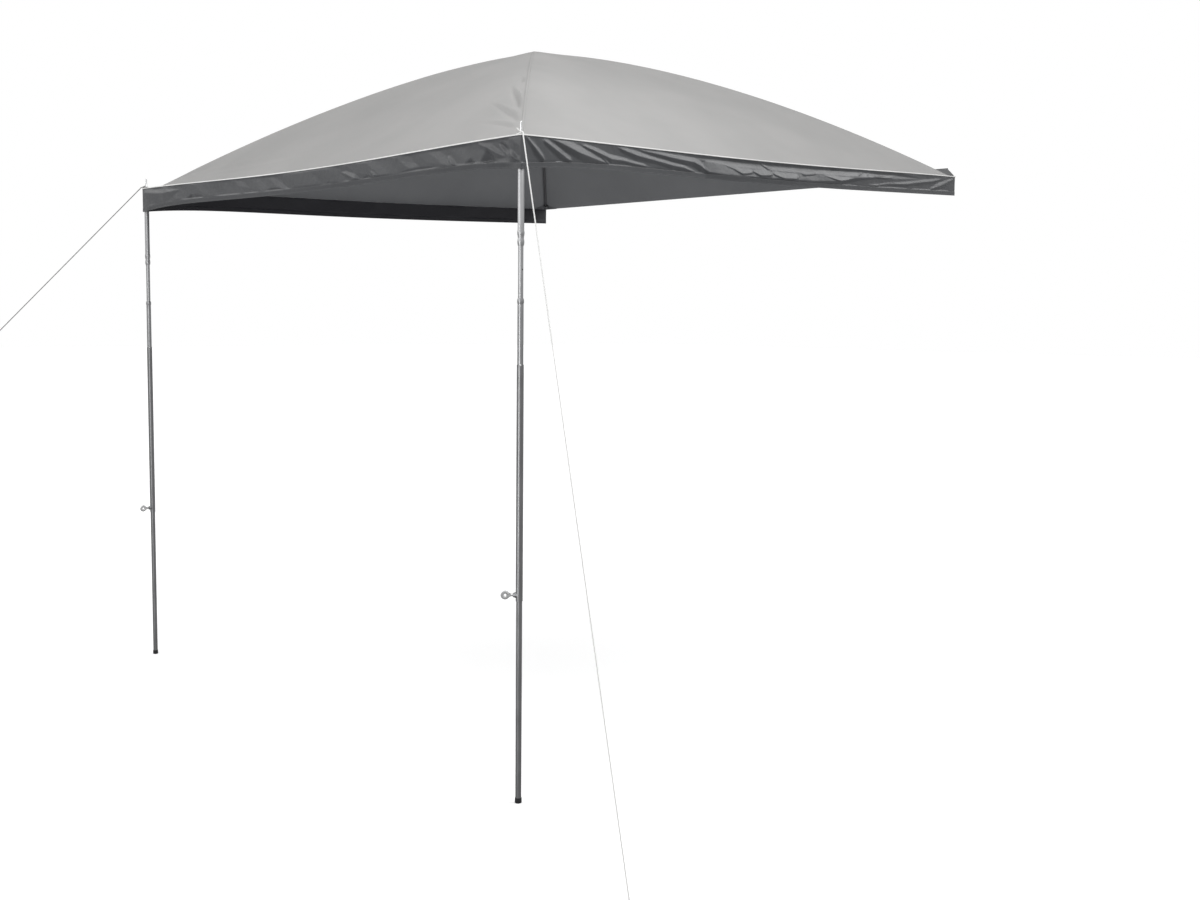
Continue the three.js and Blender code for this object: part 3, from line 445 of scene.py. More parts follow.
front_dents = [
    (0.3, 0.6, [(450, 58, 0), (480, 66, 4), (540, 70, 6), (600, 72, 6), (660, 72, 4), (690, 72, 0)]),
    (0.3, 0.6, [(225, 80, 0), (237, 74, 5), (252, 70, 7), (280, 77, 5), (310, 83, 0)]),
    (0.22, 0.6, [(110, 80, 0), (135, 70, 6), (163, 62, 9), (192, 76, 5), (215, 81, 0)]),
    (0.4, 0.4, [(0, 78, 0), (15, 72, 3), (34, 61, 6), (60, 44, 6), (91, 23, 4), (110, 14, 0)]),
    (0.3, 0.6, [(800, 76, 0), (830, 71, 4), (860, 65, 5), (890, 58, 0)]),
    (0.3, 0.6, [(1050, 76, 0), (1080, 73, 4), (1120, 70, 5), (1160, 72, 0)]),
    (0.3, 0.5, [(1420, 66, 0), (1470, 64, 4), (1530, 62, 4), (1600, 62, 0)]),
    (0.3, 0.5, [(2020, 70, 0), (2080, 66, 5), (2160, 60, 5), (2220, 66, 0)]),
]
front_folds = [
    (0.3, 0.3, [(315, 92, 0), (321, 84, 6), (345, 62, 6), (368, 40, 4), (380, 32, 0)]),
    (0.4, 0.3, [(75, 60, 0), (100, 50, 4), (150, 30, 6), (200, 12, 3), (220, 4, 0)]),
    (0.4, 0.4, [(760, 82, 0), (780, 78, 5), (810, 58, 5), (824, 46, 3), (840, 38, 0)]),
    (0.3, 0.4, [(900, 72, 0), (940, 56, 5), (1000, 36, 4), (1040, 26, 0)]),
]
front_end = (0.3, 0.12, [(2250, 20, 0), (2400, 30, 6), (2580, 20, 4), (2600, 20, 0)])


def facets(x, y, seed):
    """Crumpled height from -1 to 1: each unit cell is two flat triangles through its corners' heights."""
    a, b, c, d, u, v = lattice(x, y, seed)
    lower = a + (b - a) * u + (c - a) * v
    upper = d + (c - d) * (1 - u) + (b - d) * (1 - v)
    return np.where(u + v < 1, lower, upper)


def crest(near, level, fold):
    """A fold's height: that of its line there, less above per metre over the line and under per metre
    below it, and never under nothing."""
    above, under, line = fold
    at, middle, height = 0.001 * np.array(line).T
    below = level - np.interp(near, at, middle)
    return np.maximum(0.0, np.interp(near, at, height, 0, 0) - np.where(below < 0, -above, under) * below)


def valance_fold(side, s, level, half):
    """How far the cloth stands out at s along the edge and level down it: the highest of its folds, with
    puffs, hollows and dents added or taken off, and a fine crumple of facets."""
    near = half * 2 - s if side == "front" else s
    if side == "right":
        tall = np.max([crest(near, level, fold) for fold in right_folds], axis=0)
        puffs = sum(crest(near, level, fold) for fold in right_puffs)
        crumple = facets(near / 0.06 - level / 0.05, level / 0.04 + near / 0.2, 12) * 0.0012
        return tall + puffs - crest(near, level, right_hollow) + crumple
    if side == "front":
        dents = np.max([crest(near, level, fold) for fold in front_dents], axis=0)
        tall = np.max([crest(near, level, fold) for fold in front_folds], axis=0)
        crumple = facets((near + 0.9 * level) / 0.075, level / 0.055 + near / 0.4, 15) * 0.0035
        rolling = noise(near / 0.4, level / 0.2, 16) * 0.003
        return tall - 1.4 * dents + crumple + crest(near, level, front_end) + rolling
    return facets(near / 0.11 - level / 0.09, level / 0.06, 17) * 0.002


def edge_points(side, t, beyond, above):
    """Points along a side's bowed edge at t, -1 to 1, so far beyond it and above it."""
    out_way, run_way, half_out, half_run, bow, droop = roof_sides[side]
    slack = (1 - t * t) ** 2
    out, run, height = half_out - bow * slack + beyond, half_run * t, above - droop * slack
    x, y = out_way[0] * out + run_way[0] * run, out_way[1] * out + run_way[1] * run
    return np.stack([x, y, height], axis=-1)


def valance_side(side, column_step):
    """One side's outer and inner grids and its map: rows down from the piping, the hem's a step out from
    the rest, and columns column_step apart. It hangs plumb from the tilted edge."""
    half = roof_sides[side][3]
    t = np.linspace(-1, 1, int(2 * half / column_step) + 1)
    if side != "left":
        t = t[1:]
    rail_end = (side == "right") & (t > 0) | (side == "left") & (t < 0)
    end_depth = np.where(rail_end, rail_end_depth, corner_depth)
    depth = middle_depth + (end_depth - middle_depth) * np.abs(t) ** 6
    s, from_end = (t + 1) * half, half * (1 - np.abs(t))
    share = np.concatenate([np.linspace(0, 1, 25), 1 + np.array(hem_rows)])[:, None]
    into_hem = np.maximum(share - 1, 0)
    down = np.minimum(share, 1) * (depth - hem_depth) + into_hem * hem_depth
    loose = ease(s, 0.78, 0.9) * (1 - ease(s, 1.55, 1.8)) if side == "right" else 0.0
    fade = ease(share, 0.0, 0.12) * (1 - ease(share, 0.93, 1.0) * (1 - loose)) * (1 - 0.5 * into_hem)
    fold = valance_fold(side, s, np.minimum(down, depth - hem_depth), half) * fade
    free = ease(from_end, 0.03, 0.08)
    outward = np.abs(fold) * ease(from_end, -0.01, 0.03)
    fold = np.where(rail_end, fold, outward + (fold - outward) * free)
    hem_step = np.where(share > 1.01, 0.0001 if side == "front" else 0.0011, 0.0)
    if side == "front":
        fold = fold - 0.0045 * into_hem * free
    walls = []
    for extra in (hem_step, -valance_thickness - hem_step * 0.3):
        wall = edge_points(side, t, fold + extra, -0.0003 - down)
        wall[..., 1] += wall[..., 2] * math.tan(roof_tilt)
        walls.append(wall)
    return (*walls, np.stack(np.broadcast_arrays(s, depth - down), axis=-1))


def build_valance():
    """The three sides joined end to end, with the map running on from one to the next."""
    outer, inner, places = [], [], []
    run_so_far = 0.0
    for side, column_step in (("left", 0.008), ("front", 0.0055), ("right", 0.0042)):
        wall, lining, flat = valance_side(side, column_step)
        outer.append(wall)
        inner.append(lining)
        places.append(flat + np.array([run_so_far, 0.0]))
        run_so_far += 2 * roof_sides[side][3]
    outer, inner, places = (np.concatenate(part, axis=1) for part in (outer, inner, places))
    return add_cloth("valance_sheet", tilted(outer), tilted(inner), [hem_cloth, inner_face_painted_shade],
                     sharp=75.0, places=places)


hem_cloth = stitched(cloth("hem_cloth", coal_dark, coal_light, 0.36, 0.04, 0.6, 0.0006, 0.0020, 45.0),
                     (0.085, 0.087, 0.09), (0.0025, 0.0150))
# The inner face's near-black cloth is painted shade, not a different cloth.
inner_face_painted_shade = cloth("inner_face_painted_shade", painted_shade_dark, painted_shade_light, 0.55, 0.03, 0.4, 0.0006, 0.0018, 45.0)
valance = build_valance()
settle(valance, "canopy", "dark_fabric", "valance_front", "valance_left", "valance_right")


# Piping: a round cord in white woven cloth, sewn between roof and valance along the three free edges.
# It turns each near corner in a small bend.
piping_radius, piping_beyond, piping_above = 0.002, 0.0026, 0.0006
bend_radius, bend_x, bend_y = 0.008, 1.2946, -1.1546
bend_turns = {"left": (200, 225, 250), "front": (290, 315, 340)}
piping_dark, piping_light = (0.66, 0.66, 0.65), (0.78, 0.78, 0.77)


def smooth_path(points, step):
    """Points about step apart on a Catmull-Rom curve: between b and c, with a before and d after, it is
    half of 2b + (c - a)t + (2a - 5b + 4c - d)tt + (3b - a - 3c + d)ttt."""
    points = np.asarray(points, float)
    ends = np.vstack([2 * points[0] - points[1], points, 2 * points[-1] - points[-2]])
    count = np.maximum(1, np.ceil(np.linalg.norm(np.diff(points, axis=0), axis=1) / step).astype(int))
    span = np.repeat(np.arange(len(count)), count)
    t = ((np.arange(len(span)) - np.repeat(np.cumsum(count) - count, count)) / count[span])[:, None]
    a, b, c, d = (ends[span + i] for i in range(4))
    curve = 0.5 * (2 * b + (c - a) * t + (2 * a - 5 * b + 4 * c - d) * t ** 2
                   + (3 * b - a - 3 * c + d) * t ** 3)
    return np.vstack([curve, points[-1:]])


def sweep_points(path, radius, sides):
    """Rings round a path, square to it. Each ring's first direction is the last one's, less its share
    along the path, so that the rings don't twist."""
    path = np.asarray(path, float)
    tangent = np.gradient(path, axis=0)
    tangent /= np.linalg.norm(tangent, axis=1)[:, None]
    start = np.cross(tangent[0], [0.0, 0.0, 1.0])
    if np.linalg.norm(start) < 0.1:
        start = np.cross(tangent[0], [1.0, 0.0, 0.0])
    carried = [start / np.linalg.norm(start)]
    for way in tangent:
        normal = carried[-1] - way * carried[-1].dot(way)
        carried.append(normal / np.linalg.norm(normal))
    normal = np.array(carried[1:])
    side = np.cross(tangent, normal)
    angle = np.linspace(0, 2 * math.pi, sides, endpoint=False)[:, None]
    ring = np.cos(angle) * normal[:, None] + np.sin(angle) * side[:, None]
    return path[:, None] + np.broadcast_to(radius, len(path))[:, None, None] * ring


def add_tube(name, path, radius, sides, material):
    """A solid round bar along a path, with its map running along it in metres and round it in turns."""
    rings = sweep_points(path, radius, sides)
    count = len(rings)
    faces = grid_faces(count, sides, around=True)
    caps = [list(range(sides))[::-1], list(range((count - 1) * sides, count * sides))]
    mesh = bpy.data.meshes.new(name)
    mesh.from_pydata(rings.reshape(-1, 3).tolist(), [], faces.tolist() + caps)
    mesh.materials.append(material)
    length = np.concatenate([[0], np.cumsum(np.linalg.norm(np.diff(path, axis=0), axis=1))])
    closing = (np.arange(len(faces)) % sides == sides - 1)[:, None] & (faces % sides == 0)
    turn = np.where(closing, 1.0, (faces % sides) / sides)
    layer = mesh.uv_layers.new(name="map")
    places = np.zeros(2 * len(mesh.loops))
    layer.data.foreach_get("uv", places)
    places[:2 * faces.size] = np.stack([length[faces // sides], turn], axis=-1).ravel()
    layer.data.foreach_set("uv", places)
    mesh.shade_smooth()
    mesh.set_sharp_from_angle(angle=math.radians(50.0))
    obj = bpy.data.objects.new(name, mesh)
    bpy.context.collection.objects.link(obj)
    return obj


def build_piping():
    """The cord's line: along each edge at t, -1 to 1, with a bend of three points at each near corner."""
    t = np.linspace(-1, 1, 61)
    line = []
    for side, part in (("left", t[:-1]), ("front", t[1:-1]), ("right", t[1:])):
        line.append(edge_points(side, part, piping_beyond, piping_above))
        if side in bend_turns:
            turn = np.radians(bend_turns[side])
            sign = -1 if side == "left" else 1
            line.append(np.stack([sign * bend_x + bend_radius * np.cos(turn),
                                  bend_y + bend_radius * np.sin(turn), np.full(3, piping_above)], axis=-1))
    return add_tube("piping", smooth_path(tilted(np.vstack(line)), 0.012), piping_radius, 10, piping_cloth)


piping_cloth = cloth("piping_cloth", piping_dark, piping_light, 0.55, 0.1, 0.4, 0.0007, 0.0004, 200.0)
piping = build_piping()
settle(piping, "canopy", "white_piping", "edge_piping")


# Rail strip: doubled dark cloth sewn to the roof's rear edge, tapering as it climbs to the rail.
# The welt, a round vinyl cord in its top edge, slides into the rail and holds the canopy there.
strip_half, strip_taper, strip_run, strip_climb = 1.296, 0.081, 0.0697, 0.042
strip_foot, strip_lift, strip_thickness = 1.1603, 0.0012, 0.0012
welt_radius, welt_half, welt_y, welt_z = 0.0035, 1.215, 1.2338, 0.0426


def moulded(name, colour, roughness, grain, gloss=0.0):
    """Moulded plastic or rubber with a fine grain and slight changes of tone."""
    material, shader = new_material(name, colour, roughness, coat=gloss)
    coords = clouded(material, shader, tuple(c * 0.8 for c in colour), tuple(c * 1.3 for c in colour), 60.0)
    speckle = add_node(material, "ShaderNodeTexNoise", Scale=1800.0, Detail=2.0)
    bump = add_node(material, "ShaderNodeBump", Strength=0.3, Distance=grain)
    wire(material, (coords, "Object", speckle, "Vector"), (speckle, "Fac", bump, "Height"),
         (bump, "Normal", shader, "Normal"))
    return material


def build_strip():
    """A grid of u, -1 to 1 across, by v, 0 to 1 up: it climbs with v^0.8 and waves a little between its
    sewn edges."""
    rows = np.concatenate([[0, 0.03], np.linspace(0.08, 0.9, 12), [0.96, 1.0]])
    u, v = np.meshgrid(np.linspace(-1, 1, 180), rows)
    half = strip_half - strip_taper * v
    wave = 0.0012 * noise(u * half / 0.12, v * 2, 21) * np.sin(math.pi * v)
    hem = 0.0006 * (ease(np.abs(u), 0.985, 0.988) + ease(v, 0.8, 0.82))
    height = strip_climb * v ** 0.8 + strip_lift + wave
    grid = np.stack([u * half, strip_foot + strip_run * v, height], axis=-1)
    outer = grid + np.stack([0 * u, 0 * u, hem], axis=-1)
    inner = grid - np.array([0, 0, strip_thickness])
    # Its underside takes the near-black inner cloth, which is painted shade.
    return add_cloth("rail_strip_sheet", tilted(outer), tilted(inner), [dark_cloth, inner_face_painted_shade])


dark_cloth = cloth("dark_cloth", coal_dark, coal_light, 0.36, 0.04, 0.6, 0.0006, 0.0020, 45.0)
strip = build_strip()
settle(strip, "canopy", "dark_fabric", "rail_strip")

welt_vinyl = moulded("welt_vinyl", (0.03, 0.031, 0.034), 0.5, 0.0001)
welt_line = np.linspace((-welt_half, welt_y, welt_z), (welt_half, welt_y, welt_z), 60)
welt = add_tube("rail_welt_cord", tilted(welt_line), welt_radius, 20, welt_vinyl)
settle(welt, "canopy", "black_plastic", "rail_welt")


# Roof rods: two black glass-fibre rods from corner to corner, one crossing under the other at the peak.
# Each is three lengths joined by steel ferrules, and its ends sit in rubber tips.
rod_radius, rod_end_inset, rod_gap = 0.00475, 0.052, 0.0002
rod_under, crossing_dip, crossing_spread = 0.00895, 0.0101, 0.12
ferrule_half, ferrule_outer, ferrule_inner = 0.045, 0.00595, 0.00515
tip_radius, tip_mouth, tip_length, tip_floor = 0.0064, 0.0052, 0.026, 0.003
joint_share, joint_gap = 1 / 3, rod_gap / half_diagonal
rod_end, ferrule_grip = 1 - rod_end_inset / half_diagonal, ferrule_half / half_diagonal
steel_dark, steel_light = (0.235, 0.237, 0.242), (0.29, 0.292, 0.298)


def brushed(name, dark, light, roughness):
    """Plated tube with fine streaks along Z, faint blotches and uneven gloss."""
    material, shader = new_material(name, light, roughness, metallic=1.0)
    coords = add_node(material, "ShaderNodeTexCoord")
    stretch = add_node(material, "ShaderNodeMapping", Scale=(240.0, 240.0, 7.2))
    streaks = add_node(material, "ShaderNodeTexNoise", Scale=1.0, Detail=3.0)
    blotch = add_node(material, "ShaderNodeTexNoise", Scale=14.0, Detail=5.0)
    both, half = math_node(material, "ADD"), math_node(material, "MULTIPLY", 0.5)
    ramp = two_tones(material, dark, light, 0.38, 0.62)
    gloss_range = {"To Min": roughness * 0.75, "To Max": roughness * 1.35}
    gloss = add_node(material, "ShaderNodeMapRange", **gloss_range)
    bump = add_node(material, "ShaderNodeBump", Strength=0.15, Distance=0.0002)
    wire(material, (coords, "Object", stretch, "Vector"), (stretch, "Vector", streaks, "Vector"),
         (coords, "Object", blotch, "Vector"), (streaks, "Fac", both, 0), (blotch, "Fac", both, 1),
         (both, "Value", half, 0), (half, "Value", ramp, "Fac"), (ramp, "Color", shader, "Base Color"),
         (blotch, "Fac", gloss, "Value"), (gloss, "Result", shader, "Roughness"),
         (streaks, "Fac", bump, "Height"), (bump, "Normal", shader, "Normal"))
    return material


def rod_height(s, below):
    """A rod's height at s, -1 to 1 from corner to corner: the arch less its own clearance, and for the rod
    that runs below, less a dip of exp(-dd) at d spreads from the crossing."""
    m = np.hypot(s, 0.02)
    dip = crossing_dip * np.exp(-(s * half_diagonal / crossing_spread) ** 2) if below else 0.0
    return arch_rise(m, 1.0, (1 + s / m) / 2) - rod_under - dip


def rod_path(sign, below, start, end, count):
    """Points along a rod, which runs to the left corner at the front, or to the right one, by its sign."""
    s = np.linspace(start, end, count)
    return tilted(np.stack([sign * s * half_span, s * half_reach, rod_height(s, below)], axis=-1))


def add_pipe(name, path, outer, inner, sides, material):
    """A hollow tube along a path: the outer wall one way, the bore back, and its ends closed."""
    count = len(path)
    wide = np.full(count, outer)
    wide[[0, -1]] = (outer + inner) / 2
    rings = np.vstack([sweep_points(path, wide, sides), sweep_points(path, inner, sides)[::-1]])
    loop, last = np.arange(sides), (2 * count - 1) * sides
    closing = np.stack([last + loop, last + (loop + 1) % sides, (loop + 1) % sides, loop], axis=-1)
    faces = np.vstack([grid_faces(2 * count, sides, around=True), closing])
    return add_mesh(name, rings, faces, [material])


def rounded(profile, cut):
    """The same outline with each inner corner cut off, at cut or 45 hundredths of the shorter way."""
    result = [profile[0]]
    for before, here, after in zip(profile, profile[1:], profile[2:]):
        here = np.array(here)
        for other in (before, after):
            away = np.array(other) - here
            size = np.linalg.norm(away)
            result.append(tuple(here + away / size * min(cut, size * 0.45)) if size > 0 else tuple(here))
    result.append(profile[-1])
    return result


def add_turned(name, profile, material, place, sides=40, axis=(0, 0, 1)):
    """A turned piece: [radius, distance] pairs, spun about an axis that starts at place."""
    angle = np.linspace(0, 2 * math.pi, sides, endpoint=False)
    profile = np.asarray(profile, float)
    points = np.zeros((len(profile), sides, 3))
    points[..., :2] = profile[:, None, :1] * np.stack([np.cos(angle), np.sin(angle)], axis=-1)
    points[..., 2] = profile[:, 1:]
    turn = Vector((0, 0, 1)).rotation_difference(Vector(axis)).to_matrix()
    faces = grid_faces(len(profile), sides, around=True)
    return add_mesh(name, points @ np.array(turn).T + np.array(place), faces, [material], sharp=35.0)


rod_glass = moulded("rod_glass", (0.014, 0.014, 0.017), 0.3, 0.00005, gloss=0.3)
black_rubber = moulded("black_rubber", (0.012, 0.012, 0.012), 0.8, 0.0002)
tube_metal = brushed("tube_metal", steel_dark, steel_light, 0.36)
tip_profile = rounded([(0, 0), (tip_mouth, 0), (tip_radius, 0.0012), (tip_radius, tip_length),
                       (tip_mouth, tip_length), (tip_mouth, tip_floor), (0, tip_floor)], 0.0004)
for rod, sign, below in (("ac", 1, False), ("bd", -1, True)):
    spans = ((-rod_end, -joint_share - joint_gap), (joint_gap - joint_share, joint_share - joint_gap),
             (joint_share + joint_gap, rod_end))
    for index, (start, end) in enumerate(spans):
        node = f"rod_{rod}_{index + 1}"
        bar = add_tube(node + "_bar", rod_path(sign, below, start, end, 90), rod_radius, 20, rod_glass)
        settle(bar, "canopy", "dark_rod", node)
    for index, joint in enumerate((-joint_share, joint_share)):
        node = f"ferrule_{rod}_{index + 1}"
        path = rod_path(sign, below, joint - ferrule_grip, joint + ferrule_grip, 25)
        sleeve = add_pipe(node + "_sleeve", path, ferrule_outer, ferrule_inner, 24, tube_metal)
        settle(sleeve, "canopy", "tube_steel", node)
    for way, letter in zip((-1, 1), rod):
        ending = rod_path(sign, below, way * rod_end, way * (rod_end - 0.02), 2)
        inward = (ending[1] - ending[0]) / np.linalg.norm(ending[1] - ending[0])
        tip = add_turned("rod_tip_cup_" + letter, tip_profile, black_rubber,
                         ending[0] - inward * 0.0033, sides=28, axis=tuple(inward))
        settle(tip, "canopy", "black_plastic", "rod_tip_" + letter)


# Crossing tie: a sewn loop of webbing under the peak, which holds the two rods against each other.
# It is a flat ring, 12 mm wide, with round corners.
tie_low, tie_high, tie_half, tie_corner, tie_thickness = 0.50668, 0.52995, 0.0165, 0.004, 0.0015
tie_widths = (-0.006, -0.0055, 0.0, 0.0055, 0.006)


def tie_ring(radius):
    """A rectangle's outline with round corners of this radius, about the tie's corner centres."""
    middle = (tie_low + tie_high) / 2
    flat_x, flat_z = tie_half - tie_corner, (tie_high - tie_low) / 2 - tie_corner
    angle = np.linspace(0, math.pi / 2, 6) + np.arange(4)[:, None] * math.pi / 2
    across, up = np.array([[1], [-1], [-1], [1]]), np.array([[1], [1], [-1], [-1]])
    outline = np.stack([across * flat_x + radius * np.cos(angle), 0 * angle,
                        middle + up * flat_z + radius * np.sin(angle)], axis=-1).reshape(-1, 3)
    return outline + np.array(tie_widths)[:, None, None] * np.array([0, 1, 0])


webbing = cloth("webbing", (0.026, 0.027, 0.03), (0.036, 0.037, 0.04), 0.7, 0.1, 0.4, 0.0015, 0.0005, 90.0)
tie = add_cloth("crossing_loop", tilted(tie_ring(tie_corner)), tilted(tie_ring(tie_corner - tie_thickness)),
                [webbing, webbing], around=True)
settle(tie, "canopy", "black_plastic", "crossing_tie")


# Corner patches: a fan of doubled dark cloth under each corner, with a sewn sleeve for the rod's end.
# The patches of the two pole corners are pierced for the grommets.
patch_leg, patch_gap, patch_inset = 0.09, 0.0008, 0.0022
sleeve_start, sleeve_end, sleeve_steps, flange_edge = 0.046, 0.070, 7, 0.014
pole_x, spike_y, hole_radius = 1.288, -1.148, 0.0069
roof_up = (0.0, -rail_rise / (2 * half_reach), math.sqrt(1 - (rail_rise / (2 * half_reach)) ** 2))
hole_places = {"a": tuple(tilted((-pole_x, spike_y, 0.0))), "b": tuple(tilted((pole_x, spike_y, 0.0)))}


def merge(name, objects):
    """One object from several, which keeps their materials and maps."""
    for obj in bpy.context.selected_objects:
        obj.select_set(False)
    for obj in objects:
        obj.select_set(True)
    bpy.context.view_layer.objects.active = objects[0]
    bpy.ops.object.join()
    objects[0].name = name
    objects[0].data.name = name
    objects[0].select_set(False)
    return objects[0]


def cutter(place, axis, radius, start, end, sides=32):
    """A round cutter along an axis from place, between two distances."""
    profile = [(0, start), (radius, start), (radius, end), (0, end)]
    return add_turned("cutter", profile, None, place, sides, axis)


def carve(obj, tool, operation="DIFFERENCE"):
    """Cuts a tool from a piece, or joins it on, and leaves one mesh."""
    change = obj.modifiers.new("carve", "BOOLEAN")
    change.object = tool
    change.operation = operation
    change.solver = "EXACT"
    shown = obj.evaluated_get(bpy.context.evaluated_depsgraph_get())
    mesh = bpy.data.meshes.new_from_object(shown)
    obj.modifiers.clear()
    obj.data = mesh
    bpy.data.objects.remove(tool)
    mesh.set_sharp_from_angle(angle=math.radians(35))


def patch_fan(sign_x, sign_y):
    """The fan's two faces: at u and v, a leg's length times v((1 - u)^2 + 0.91 u(1 - u)) in from one edge
    and v(uu + 0.91 u(1 - u)) from the other, just under the roof and hemmed at its far side."""
    rows = np.concatenate([[0.03, 0.06], np.linspace(0.12, 0.97, 12), [1.0]])
    u, v = np.meshgrid(np.linspace(0, 1, 25), rows)
    shared = 2 * patch_leg / 2.2 * u * (1 - u)
    x = sign_x * (half_span - ((patch_leg * (1 - u) ** 2 + shared) * v + patch_inset))
    y = sign_y * (half_reach - ((patch_leg * u ** 2 + shared) * v + patch_inset))
    top = np.stack([x, y, dome_height(x, y) - patch_gap], axis=-1)
    hem = np.stack([0 * x, 0 * x, 0.0009 + 0.0001 * (v > 0.9)], axis=-1)
    return add_cloth("patch", tilted(top), tilted(top - hem), [dark_cloth, dark_cloth])


def sleeve_wall(sign_x, sign_y, radius, foot, step):
    """One face of the sleeve: a half round of this radius under the rod's line, between two flanges that
    follow the roof from step outwards, foot under the patch."""
    inset = np.linspace(sleeve_start, sleeve_end, sleeve_steps)
    share = sign_y * (1 - inset / half_diagonal)
    centre = np.stack([sign_x * (half_span - inset * half_span / half_diagonal),
                       sign_y * (half_reach - inset * half_reach / half_diagonal),
                       rod_height(share, False)], axis=-1)
    aside = np.array([half_reach * sign_y, -half_span * sign_x, 0.0]) / half_diagonal
    bend = np.linspace(math.pi, 2 * math.pi, 15)
    side = np.concatenate([[-flange_edge, -step], radius * np.cos(bend), [step, flange_edge]])
    wall = centre[:, None] + side[:, None] * aside
    hung = dome_height(wall[..., 0], wall[..., 1]) - 0.0019 - foot
    wall[..., 2] = np.where(np.abs(side) < radius * 1.0001, wall[..., 2], hung)
    wall[:, 2:-2, 2] += radius * np.sin(bend)
    return tilted(wall)


for letter, sign_x, sign_y in corners:
    sleeve = add_cloth("sleeve", sleeve_wall(sign_x, sign_y, 0.0088, 0.0012, 0.0095),
                       sleeve_wall(sign_x, sign_y, 0.0072, 0.0001, 0.0081), [dark_cloth, dark_cloth])
    patch = merge("corner_patch_sheet_" + letter, [patch_fan(sign_x, sign_y), sleeve])
    if letter in hole_places:
        carve(patch, cutter(hole_places[letter], roof_up, hole_radius, -0.01, 0.01))
    settle(patch, "canopy", "dark_fabric", "corner_patch_" + letter)


# Grommets: rolled rings of bright plated steel through roof and patch, where the poles' spikes pass.
# The roof is whole once their holes are cut.
ring_bore, ring_neck, ring_flange = 0.006, 0.007, 0.01
ring_low, ring_high, ring_sheet = -0.0029, 0.0023, 0.0008
ring_profile = rounded([
    (ring_bore, ring_low), (ring_flange, ring_low), (ring_flange, ring_low + ring_sheet),
    (ring_neck, ring_low + ring_sheet), (ring_neck, ring_high - ring_sheet),
    (ring_flange, ring_high - ring_sheet), (ring_flange, ring_high), (ring_bore, ring_high),
    (ring_bore, ring_low)], 0.00035)
bright_metal = brushed("bright_metal", (0.74, 0.745, 0.75), (0.86, 0.865, 0.87), 0.22)
for letter, place in hole_places.items():
    carve(roof, cutter(place, roof_up, hole_radius, -0.006, 0.006))
    ring = add_turned("grommet_ring_" + letter, ring_profile, bright_metal, place, axis=roof_up)
    settle(ring, "canopy", "tube_steel", "grommet_" + letter)


# Spike plugs: turned steel plugs pressed into the poles' top ends, whose spikes pass the grommets.
# A ball on the spike fills the ring, and the cone under it lets the pole tilt 10 degrees.
pole_y = -1.162872
pole_places = {"a": (-pole_x, pole_y, 0.0), "b": (pole_x, pole_y, 0.0)}
spike_radius, ball_radius, spike_top, pole_lean = 0.0035, 0.0057, 2.113, math.radians(10)
rim_radius, stem_radius, rim_depth, stem_depth = 0.01, 0.0081, 0.0025, 0.0405
plug_rim = corner_height - (-ring_low + rim_radius * math.sin(pole_lean)) / math.cos(pole_lean) - 0.00015
ball_turn = np.linspace(0.91, -0.71, 9)
ball = np.stack([ball_radius * np.cos(ball_turn), corner_height + ball_radius * np.sin(ball_turn)], axis=-1)
plug_profile = rounded([
    (0, spike_top), (0.0015, spike_top - 0.0002), (0.0027, spike_top - 0.0012), (0.0034, spike_top - 0.003),
    (spike_radius, spike_top - 0.0045), *ball, (rim_radius, plug_rim), (rim_radius, plug_rim - rim_depth),
    (stem_radius, plug_rim - rim_depth), (stem_radius, plug_rim - stem_depth),
    (0, plug_rim - stem_depth)], 0.0003)
for letter, foot in pole_places.items():
    plug = add_turned("plug_" + letter, plug_profile, bright_metal, foot)
    settle(plug, f"pole_{letter}_top", "tube_steel", "spike_plug_" + letter)


# Upper and neck tubes: the upper tube is rolled in two beads onto the thinner neck tube inside it.
# Both are pale plated steel, and a small hole goes through the neck tube below the collar.
upper_radius, upper_bore, upper_bottom, upper_top = 0.01, 0.0084, 1.74, plug_rim - 0.0028
neck_radius, neck_bore, neck_bottom, neck_top = 0.008, 0.007, 1.51, 1.865
pin_height, pin_radius = 1.668, 0.0022


def bead(top, bottom, base, crown):
    """A rolled bead: nine points from top to bottom, standing out from base to crown by half a sine."""
    share = np.linspace(0, 1, 9)
    out = base + (crown - base) * np.sin(math.pi * share)
    return np.stack([out, top + (bottom - top) * share], axis=-1)


def tube_outline(outer, bore, bottom, top, cut):
    """A straight tube's wall as a closed outline, its corners cut."""
    return rounded([(bore, bottom), (outer, bottom), (outer, top), (bore, top), (bore, bottom)], cut)


pale_metal = brushed("pale_metal", (0.42, 0.423, 0.43), (0.48, 0.483, 0.49), 0.42)
upper_profile = [(upper_bore, upper_bottom), (upper_bore, upper_top), (0.0088, upper_top),
                 (0.0098, upper_top), (upper_radius, upper_top - 0.0003),
                 *bead(1.787, 1.77, upper_radius, 0.0112),
                 *bead(1.762, upper_bottom, 0.0092, 0.0107), (upper_bore, upper_bottom)]
for letter, foot in pole_places.items():
    upper = add_turned("upper_" + letter, upper_profile, pale_metal, foot)
    settle(upper, f"pole_{letter}_top", "bright_steel", "upper_tube_" + letter)
    wall = tube_outline(neck_radius, neck_bore, neck_bottom, neck_top, 0.0002)
    neck = add_turned("neck_" + letter, wall, pale_metal, foot)
    carve(neck, cutter((foot[0], foot[1], pin_height), (1, 0, 0), pin_radius, -0.02, 0.02, 24))
    settle(neck, f"pole_{letter}_top", "tube_steel", "neck_tube_" + letter)


# Inner tubes: plated steel, rolled in a bead round the neck tube at the top, and sliding in the middle
# tube below. The snap button comes out through a hole in its wall.
inner_radius, inner_bore, inner_bottom, inner_top = 0.0095, 0.0085, 1.209, 1.581
button_height, button_hole = 1.377, 0.004


def heading(degrees):
    """The way out from a pole, turned so far from straight ahead towards the right."""
    return math.sin(math.radians(degrees)), -math.cos(math.radians(degrees)), 0.0


